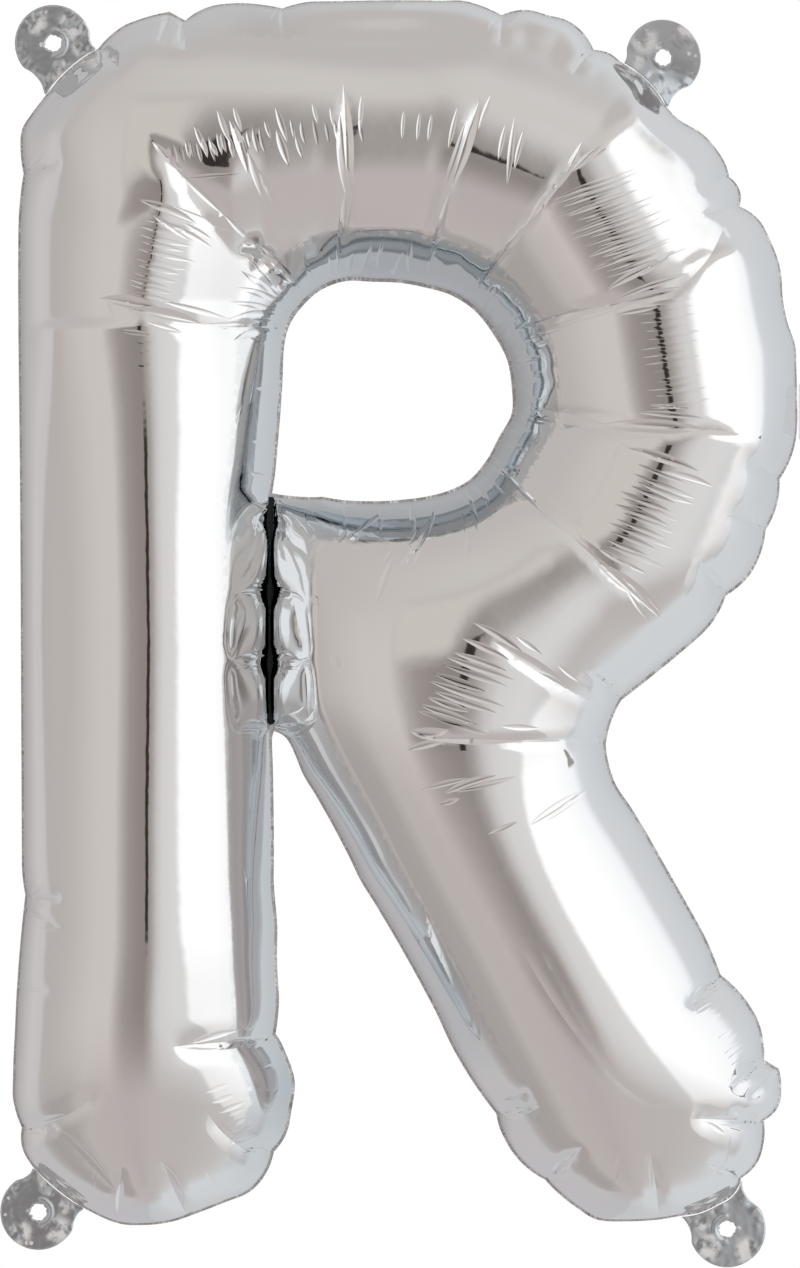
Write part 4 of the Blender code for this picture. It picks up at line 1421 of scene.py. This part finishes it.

# %% [markdown]
# ## The film, front and back
#
# Now both sheets are cut, swollen and creased. The front has all the folds of the photograph. The back
# can't be seen there, so it has the long folds, which go through both sheets at the same pinches, every
# other small dent, and gathers of its own.
#
# Each point also keeps two numbers for the material: how far it is from the edge, and how closely its
# wall faces another stroke, which sets how much painted reflection its color gets.

# %% The film, front and back
RIM_LIFT = 0.1 * MM
DENT_FADE = 1 * MM          # the dents get shallower from here to the weld
CREASE_GAP = 0.4 * MM       # no line of a crease comes nearer to the weld
WALL_WIDTH = 16 * MM        # how far in from the edge its distance is counted


def crease_lines(dents, valleys):
    """Every line that the net has to follow, and whether it is a sharp fold."""
    lines = [(line, line is not dent.line) for dent in dents for line in [dent.line] + dent.side_lines()]
    lines += [(valley.line, True) for valley in valleys]
    kept, kept_sharp = [], []
    for line, is_sharp in lines:
        safe = is_inside(line, film_edge) & (edge_distance(line, film_edge)[0] > CREASE_GAP)
        if safe.sum() > 1:
            kept.append(line[safe])
            kept_sharp.append(is_sharp)
    return kept, kept_sharp


def film_piece(name, dents, valleys, side):
    """One blown and creased sheet. Side is -1 for the front and 1 for the back."""
    lines, sharp = crease_lines(dents, valleys)
    flat, faces, on_edge, of_line = fill_flat(film_edge, sheet, lines)
    gap, _, nearest = edge_distance(flat, film_edge)
    heights = mitred(flat, field.at(height_places(flat, gap)), gap)
    heights[on_edge] = 0
    blown = np.stack([flat[:, 0], side * (RIM_LIFT + half_depth(heights)), flat[:, 1]], axis=1)
    blown[:, 0] += over_the_slit(blown)
    normals = point_normals(blown, faces)
    if (normals[:, 1] * side).sum() < 0:
        faces = faces[:, ::-1]
        normals = -normals
    pressed = pressed_depth(flat, dents, valleys) * np.minimum(1, gap / DENT_FADE) + puckers(flat, gap)
    blown -= normals * pressed[:, None]
    piece = new_piece(name, blown.tolist(), faces.tolist())
    piece.data.shade_smooth()
    fold_keys = {tuple(sorted(edge)) for edges, is_sharp in zip(of_line, sharp) if is_sharp for edge in edges}
    pairs = np.empty(len(piece.data.edges) * 2, int)
    piece.data.edges.foreach_get("vertices", pairs)
    folds = [tuple(sorted(pair)) in fold_keys for pair in pairs.reshape(-1, 2).tolist()]
    keep_numbers(piece, "sharp_edge", folds, "BOOLEAN", "EDGE")
    keep_numbers(piece, "wall", np.clip(gap / WALL_WIDTH, 0, 1))
    keep_numbers(piece, "painted_reflection", edge_painted_reflection[nearest])
    print(name, len(faces), "triangles, deepest dent", round(pressed.max() / MM, 2), "mm")
    return piece


front_film = film_piece("front_film", seen_dents + ribs + gathers, valleys, -1)
back_film = film_piece("back_film", seen_dents[::2] + gathers_at_weld(BACK_SEED), valleys, 1)

# %% [markdown]
# ## Shared node groups
#
# The film is a mirror with a very fine waviness that makes every reflected line a little ragged. The same
# waviness, coarser or finer, is on all the foil of the balloon, so it is a shared node group. A second
# group gives a cloudy mask of small places: flecks of grit on the weld, scuffs on the clear film, the
# ragged border of the film's painted reflection, and on the lugs painted glints where the foil is
# painted white.

# %% Shared node groups
SCUFF_DETAIL = 4.0
# The mask is on where the clouds are over this, less a part of the share that is wanted.
SCUFFED_OVER, SHARE_LOWERS, SCUFF_BORDER = 0.72, 0.4, 0.12


def new_group(name, numbers, output, kind):
    """An empty node group with number inputs and one output, a sheet to fill it with, and its inputs."""
    group = bpy.data.node_groups.new(name, "ShaderNodeTree")
    for label, start in numbers.items():
        socket = group.interface.new_socket(label, in_out="INPUT", socket_type="NodeSocketFloat")
        socket.default_value = start
    group.interface.new_socket(output, in_out="OUTPUT", socket_type=kind)
    nodes = NodeSheet(group)
    return group, nodes, nodes.add("NodeGroupInput").outputs


def scaled_noise(nodes, scale, detail=2.0):
    place = nodes.add("ShaderNodeTexCoord").outputs["Object"]
    wave = nodes.add("ShaderNodeTexNoise", {"Vector": place, "Scale": scale, "Detail": detail})
    return wave.outputs["Fac"]


fine_waves, nodes, given = new_group("fine_waves", {"Scale": 150.0, "Height": 0.00003},
                                     "Normal", "NodeSocketVector")
ripple = scaled_noise(nodes, given["Scale"])
bump = nodes.add("ShaderNodeBump", {"Distance": given["Height"], "Height": ripple})
nodes.add("NodeGroupOutput", {"Normal": bump.outputs[0]})

scuff_and_glint_clouds, nodes, given = new_group("scuff_and_glint_clouds", {"Scale": 300.0, "Share": 0.4}, "Mask", "NodeSocketFloat")
clouds = scaled_noise(nodes, given["Scale"], SCUFF_DETAIL)
threshold = nodes.math("SUBTRACT", SCUFFED_OVER, nodes.math("MULTIPLY", given["Share"], SHARE_LOWERS))
mask = nodes.smooth_step(clouds, threshold, nodes.math("ADD", threshold, SCUFF_BORDER))
nodes.add("NodeGroupOutput", {"Mask": mask})
print("groups:", [group.name for group in (fine_waves, scuff_and_glint_clouds)])

# %% [markdown]
# ## The foils
#
# All the foil is one metal in different states. The film is a clean mirror, with a darker, bluer painted
# reflection where its wall faces another stroke. The weld was pressed between rough dies and is dull and
# flecked. In the slit hardly any light gets to it, so there its color is painted nearly black, as
# painted shade. The lugs are crumpled in cloudy places, which are painted white as painted glints, as
# are a few dots. The valve's mouth is clear film and no metal at all.

# %% Foil materials
# The film's silver, and the darker, bluer painted reflection of a neighbouring stroke, which ends raggedly at
# the given shares of the wall's width.
SILVER, PAINTED_NEIGHBOUR_REFLECTION = (0.92, 0.92, 0.92, 1), (0.66, 0.695, 0.72, 1)
PAINTED_REFLECTION_EDGE, BORDER_RAGGED = (0.8, 0.7), 0.08     # where the tint ends, as shares of the wall's width
WELD_METAL, WELD_GRIT = (0.72, 0.72, 0.73, 1), (0.4, 0.4, 0.42, 1)
# The slit's color is painted shade: nearly black, as hardly any light gets into the slit.
SLIT_PAINTED_SHADE = (0.035, 0.04, 0.04, 1)
# The second color is a painted highlight: the white that the lugs' glint spots and dots are painted.
LUG_METAL, PAINTED_GLINT_WHITE = (0.62, 0.665, 0.70, 1), (0.97, 0.99, 1, 1)
CLEAR_FILM, CLEAR_ALPHA = (0.9, 0.92, 0.93, 1), 0.35
CLEAR_ROUGHNESS, CLEAR_ROUGHER = 0.1, 0.3          # and how much rougher where it is scuffed


class Foil(NodeSheet):
    """A metal material that is built up in steps, with the Principled node at its end."""

    def __init__(self, name, base, roughness, wave_scale, wave_height):
        self.material = bpy.data.materials.new(name)
        self.material.use_nodes = True
        super().__init__(self.material.node_tree)
        size = {"Scale": wave_scale, "Height": wave_height}
        waves = self.add("ShaderNodeGroup", size, node_tree=fine_waves)
        metal = {"Base Color": base, "Metallic": 1, "Roughness": roughness, "Normal": waves.outputs[0]}
        self.shader = self.add("ShaderNodeBsdfPrincipled", metal)
        self.add("ShaderNodeOutputMaterial", {"Surface": self.shader.outputs[0]})

    def give(self, socket, value):
        self.feed(self.shader.inputs[socket], value)

    def scuffs_and_glints(self, scale, share):
        return self.add("ShaderNodeGroup", {"Scale": scale, "Share": share}, node_tree=scuff_and_glint_clouds).outputs[0]

    def number_of_point(self, name):
        return self.add("ShaderNodeAttribute", attribute_name=name).outputs["Fac"]


foil = Foil("silver_foil", SILVER, roughness=0.045, wave_scale=130.0, wave_height=0.00003)
# Painted reflection: where a wall faces another stroke, the film's color is painted darker and bluer, fading
# out raggedly away from the edge.
border = foil.math("MULTIPLY", foil.scuffs_and_glints(scale=420.0, share=0.6), BORDER_RAGGED)
from_edge = foil.math("ADD", foil.number_of_point("wall"), border)
painted_reflection_mask = foil.product(foil.number_of_point("painted_reflection"), foil.smooth_step(from_edge, *PAINTED_REFLECTION_EDGE))
foil.give("Base Color", foil.mix_color(painted_reflection_mask, SILVER, PAINTED_NEIGHBOUR_REFLECTION))

weld_foil = Foil("welded_foil", WELD_METAL, roughness=0.22, wave_scale=900.0, wave_height=0.0002)
flecked = weld_foil.scuffs_and_glints(scale=700.0, share=0.35)
weld_foil.give("Base Color", weld_foil.mix_color(flecked, WELD_METAL, WELD_GRIT))

slit_painted_shade = Foil("slit_painted_shade", SLIT_PAINTED_SHADE, roughness=0.3, wave_scale=500.0, wave_height=0.0003)

lug_foil = Foil("lug_foil", LUG_METAL, roughness=0.2, wave_scale=260.0, wave_height=0.00003)
# Painted glints: where the cloudy mask and the lug's glint share are both on, the lug is painted white and
# not metal.
painted_glint = lug_foil.product(lug_foil.scuffs_and_glints(scale=160.0, share=0.65), lug_foil.number_of_point("painted_glint"))
lug_foil.give("Metallic", lug_foil.math("SUBTRACT", 1.0, painted_glint))
lug_foil.give("Base Color", lug_foil.mix_color(painted_glint, LUG_METAL, PAINTED_GLINT_WHITE))

clear_film = Foil("clear_film", CLEAR_FILM, CLEAR_ROUGHNESS, wave_scale=400.0, wave_height=0.00005)
clear_film.give("Metallic", 0)
clear_film.give("Alpha", CLEAR_ALPHA)
rougher = clear_film.math("MULTIPLY", clear_film.scuffs_and_glints(scale=250.0, share=0.5), CLEAR_ROUGHER)
clear_film.give("Roughness", clear_film.math("ADD", rougher, CLEAR_ROUGHNESS))
print("materials:", [made.material.name for made in (foil, weld_foil, slit_painted_shade, lug_foil, clear_film)])

# %% [markdown]
# ## Handing the film over
#
# Each sheet gets the foil, rides on the balloon, and stands in for a panel of the frame, which is
# hidden.

# %% Film pieces
def finish_piece(piece, node_names, material):
    piece.data.materials.append(material)
    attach(piece, "root")
    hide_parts(*node_names)
    print(piece.name, len(piece.data.polygons), "faces")


for film, node in ((front_film, "front_panel"), (back_film, "back_panel")):
    finish_piece(film, [node], foil.material)

# %% [markdown]
# ## Working as by hand
#
# The smaller pieces are modelled with the same operators that the menus hold. An operator acts on what
# is selected, so each piece starts from an empty selection.

# %% Helpers for modelling with operators
SAME_CORNER = 0.01 * MM     # corners of loose triangles that are nearer than this become one


def only(piece):
    """Select one object and nothing else."""
    bpy.ops.object.select_all(action="DESELECT")
    piece.select_set(True)
    bpy.context.view_layer.objects.active = piece


def apply_modifier(piece, kind, **settings):
    modifier = piece.modifiers.new(kind.lower(), kind)
    for name, value in settings.items():
        setattr(modifier, name, value)
    only(piece)
    bpy.ops.object.modifier_apply(modifier=modifier.name)


def copy_of_node(node_name, piece_name):
    """A copy of a node's mesh with its loose triangles joined up."""
    only(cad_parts[node_name])
    bpy.ops.object.duplicate()
    piece = bpy.context.view_layer.objects.active
    piece.name = piece_name
    piece.data.name = piece_name
    piece.parent = None
    for key in list(piece.keys()):
        if key.startswith("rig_"):
            del piece[key]
    piece.data.materials.clear()
    bpy.ops.object.mode_set(mode="EDIT")
    bpy.ops.mesh.select_all(action="SELECT")
    bpy.ops.mesh.remove_doubles(threshold=SAME_CORNER)
    bpy.ops.object.mode_set(mode="OBJECT")
    return piece


def move_points(piece, move):
    """Pass all of a piece's points through a function and put them back."""
    places = np.empty(len(piece.data.vertices) * 3)
    piece.data.vertices.foreach_get("co", places)
    piece.data.vertices.foreach_set("co", move(places.reshape(-1, 3)).ravel())
    piece.data.update()


print("helpers ready")

# %% [markdown]
# ## The welded edge
#
# The weld is a thin strip that follows the outline and reaches in under the film's rim. It was pressed
# hot between two dies and shrank as it cooled, so it waves a little from front to back. Between stem and
# leg it is a plain strip, which is thinned here, and drawn longer so that no light shows at its ends.

# %% Weld strips
WELD_WIDTH = 2.2 * MM
WELD_FILM = 0.35 * MM
WAVE_HEIGHT, WAVE_LENGTH, WAVE_LOSS = 0.32 * MM, 4 * MM, 0.6
WELD_ROWS = (0, 0.3, 0.65, 1)      # where the strip has lines of points, as shares of its width
THINNED = 0.3                      # how thick a strip of film is beside its node
SLIT_PIVOT = np.array((0, 0, -158 * MM))
SLIT_STRETCH = 1.15                # how long it is beside its node


def waved(places):
    """Wave the strip: strongest at its free edge, the same on every run."""
    count = len(places) // len(WELD_ROWS)
    for index, place in enumerate(places):
        fading = 1 - WAVE_LOSS * (index // count) / len(WELD_ROWS)
        places[index, 1] += WAVE_HEIGHT * fading * noise.noise(Vector(place) / WAVE_LENGTH)
    return places


def welded_strip(name, outer):
    """A thin strip that follows an edge, from the edge in under the film's rim."""
    normals = inward_normals(outer)
    rows = [outer + normals * WELD_WIDTH * share for share in WELD_ROWS]
    count = len(outer)
    quads = [(row * count + i, row * count + (i + 1) % count,
              (row + 1) * count + (i + 1) % count, (row + 1) * count + i)
             for row in range(len(rows) - 1) for i in range(count)]
    piece = new_piece(name, [(x, 0, z) for x, z in np.vstack(rows)], quads)
    move_points(piece, waved)
    apply_modifier(piece, "SOLIDIFY", thickness=WELD_FILM, offset=0)
    return piece


finish_piece(welded_strip("edge_weld", outline), ["outer_seam"], weld_foil.material)
counter_weld = welded_strip("counter_weld", counter_line[::-1])
finish_piece(counter_weld, ["counter_seam"], weld_foil.material)
stem_weld = copy_of_node("stem_weld", "stem_weld_film")
move_points(stem_weld, lambda places: (places - SLIT_PIVOT) * (1, THINNED, SLIT_STRETCH) + SLIT_PIVOT)
# The strip in the slit takes the nearly black painted shade.
finish_piece(stem_weld, ["stem_weld"], slit_painted_shade.material)

# %% [markdown]
# ## Lugs
#
# Four flat ears of foil with a punched hole are left on the corners. They are one press tool's work, so
# the photograph shows the same marks on all four, mirrored: a ragged hole with an embossed arc beside
# it, a few small dots by the rim, cloudy places on the far side and a crumpled neck. Here the dots are
# painted glints, and the cloudy places are crumpled and painted white as glints.

# %% Lugs
LUG_STEP = 0.5 * MM
LUG_FILM = 0.25 * MM
LUG_SIDES = {"upper_left": (1, 1), "upper_right": (-1, 1), "lower_left": (1, -1), "lower_right": (-1, -1)}
# For the upper left lug, in millimetres from its hole: dots that are painted glints, and crumpled places that
# are painted white as glints, with their radii.
LUG_GLINT_DOTS = [(-2.0, 9.1, 0.7), (-7.7, 1.3, 0.6), (-9.6, 0.8, 0.55), (-8.6, -3.9, 0.55), (-3.4, -0.4, 0.7),
            (1.8, 2.8, 0.6), (-5.0, 8.4, 0.6), (-3.6, 9.0, 0.5), (6.4, 6.6, 0.6)]
LUG_CRUMPLE_AND_GLINT_SPOTS = [(-5.5, 6.0, 5.0), (5.5, 5.0, 5.5), (3.0, -8.0, 4.5), (7.5, -1.5, 3.0)]
# The punched hole is ragged, and smaller than the peg that goes through it.
HOLE_SHOWS, HOLE_RAGGED, RAG_LENGTH, HOLE_STEP = 0.72, 0.14, 1.3 * MM, 0.7 * LUG_STEP
ARC_RADIUS, ARC_SIDE, ARC_HEIGHT = 3.7 * MM, (0.7 * MM, 0.1 * MM), 0.25 * MM
NECK_FROM_HOLE, NECK_DOWN = (7 * MM, 11 * MM), (2 * MM, -2 * MM)
CRUMPLE, CRUMPLE_WIDE, CRUMPLE_FINE, FINE_SHARE = 0.3 * MM, 3.2 * MM, 1.6 * MM, 0.6
# The second share is the extra crumple in the spots that carry painted glints, and in the neck.
SMOOTH_SHARE, RUBBED_SHARE = 0.12, 0.75      # of the crumple: everywhere, and more where it is rubbed
BEND_ROOT = np.array((82.5, -10.5)) * MM     # where the upper right lug leaves the weld, and its bend
BEND_OUTWARD = np.array((1, 1)) / math.sqrt(2)
FORWARD_BEND = math.radians(24)


def lug_mesh(node_name):
    """The flat lug as points and triangles, with its hole left open, and the middle of the hole."""
    loops = level_loops(node_name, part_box(node_name)[0].y)
    edge, hole = turned_left(loops[0]), turned_left(loops[1])
    edge = np.array(smooth_stretch(np.vstack([edge, edge[:1]]), LUG_STEP))
    ring = np.array(smooth_stretch(np.vstack([hole, hole[:1]]), HOLE_STEP))
    middle = ring.mean(axis=0)
    ragged = np.array([HOLE_SHOWS + HOLE_RAGGED * noise.noise((x, z, 0)) for x, z in ring / RAG_LENGTH])
    ring = middle + (ring - middle) * ragged[:, None]
    inner = even_grid(edge, LUG_STEP)
    clear = (edge_distance(inner, edge)[0] > LUG_STEP / 2) & (edge_distance(inner, ring)[0] > LUG_STEP / 2)
    inner = inner[clear & ~is_inside(inner, ring)]
    flat, faces, _, _ = fill_flat(edge, inner, [np.vstack([ring, ring[:1]])], LUG_STEP)
    middles = flat[faces].mean(axis=1)
    return flat, faces[~is_inside(middles, ring)], ring.mean(axis=0)


def spots(local, centers):
    """1 in the middle of the nearest of the round spots, 0 at its radius."""
    found = np.zeros(len(local))
    for x, z, radius in centers:
        reach = np.linalg.norm(local - np.array((x, z)) * MM, axis=1) / (radius * MM)
        found = np.maximum(found, smooth(reach, 1.0, 0.4))
    return found


def crumpled(x, z):
    """Wide wrinkles with finer ones across them."""
    wide, fine = Vector((x, z, 0)) / CRUMPLE_WIDE, Vector((z, x, 0)) / CRUMPLE_FINE
    return noise.noise(wide) + FINE_SHARE * noise.noise(fine)


def lug_piece(corner):
    flat, faces, middle = lug_mesh("tab_" + corner)
    local = (flat - middle) * LUG_SIDES[corner]
    from_hole = np.linalg.norm(local, axis=1)
    scuffs_and_glints = spots(local, LUG_CRUMPLE_AND_GLINT_SPOTS)
    wrinkled = np.array([crumpled(x, z) for x, z in local])
    neck = smooth(from_hole, *NECK_FROM_HOLE) * smooth(local[:, 1], *NECK_DOWN)
    on_arc = smooth(np.abs(from_hole - ARC_RADIUS), *ARC_SIDE) * (local[:, 0] > 0)
    much = SMOOTH_SHARE + RUBBED_SHARE * np.maximum(scuffs_and_glints, neck)
    y = CRUMPLE * wrinkled * much - ARC_HEIGHT * on_arc
    piece = new_piece("lug_" + corner, np.stack([flat[:, 0], y, flat[:, 1]], axis=1).tolist(), faces.tolist())
    piece.data.shade_smooth()
    # The share of painted glint for the material: the crumpled spots, and the dots at double strength.
    keep_numbers(piece, "painted_glint", np.maximum(scuffs_and_glints, spots(local, LUG_GLINT_DOTS) * 2))
    return piece


def bent_forward(places):
    """Turn the points about the line where the lug leaves the weld."""
    beyond = np.maximum((places[:, [0, 2]] - BEND_ROOT) @ BEND_OUTWARD, 0)
    places[:, 1] -= beyond * math.sin(FORWARD_BEND)
    places[:, [0, 2]] -= (beyond * (1 - math.cos(FORWARD_BEND)))[:, None] * BEND_OUTWARD
    return places


for corner in LUG_SIDES:
    lug = lug_piece(corner)
    if corner == "upper_right":
        move_points(lug, bent_forward)
    apply_modifier(lug, "SOLIDIFY", thickness=LUG_FILM, offset=0)
    finish_piece(lug, ["tab_" + corner], lug_foil.material)

# %% [markdown]
# ## The valve's mouth
#
# The balloon is filled through a flat sleeve of clear film, of which a short mouth stands out past the
# weld on the right.

# %% Valve
valve = copy_of_node("filler_valve", "valve_mouth")
move_points(valve, lambda places: places * (1, THINNED, 1))
finish_piece(valve, ["filler_valve"], clear_film.material)

# %% [markdown]
# ## The floor
#
# A pale floor lies far below, as in a studio. From underneath it can be looked through, and the foil
# mirrors the painted room instead of it, because the disc's hard edge would show in the chrome.

# %% Floor
FLOOR_RADIUS, FLOOR_HEIGHT = 3, -1.4
FLOOR_COLOR = (250, 248, 246)

bpy.ops.mesh.primitive_circle_add(vertices=96, radius=FLOOR_RADIUS, fill_type="NGON",
                                  location=(0, 0, FLOOR_HEIGHT))
floor = bpy.context.view_layer.objects.active
floor.name = "floor"
floor_paint = bpy.data.materials.new("floor_paint")
floor_paint.use_nodes = True
floor_nodes = NodeSheet(floor_paint.node_tree)
painted = floor_nodes.add("ShaderNodeBsdfDiffuse", {"Color": picture_color(FLOOR_COLOR)}).outputs[0]
looked_through = floor_nodes.add("ShaderNodeBsdfTransparent").outputs[0]
from_below = floor_nodes.add("ShaderNodeNewGeometry").outputs["Backfacing"]
in_mirror = floor_nodes.add("ShaderNodeLightPath").outputs["Is Glossy Ray"]
hidden = floor_nodes.math("MAXIMUM", from_below, in_mirror)
shown = floor_nodes.mix_shader(hidden, painted, looked_through)
floor_nodes.add("ShaderNodeOutputMaterial", {"Surface": shown})
floor.data.materials.append(floor_paint)
print("floor", floor.location.z, "m")
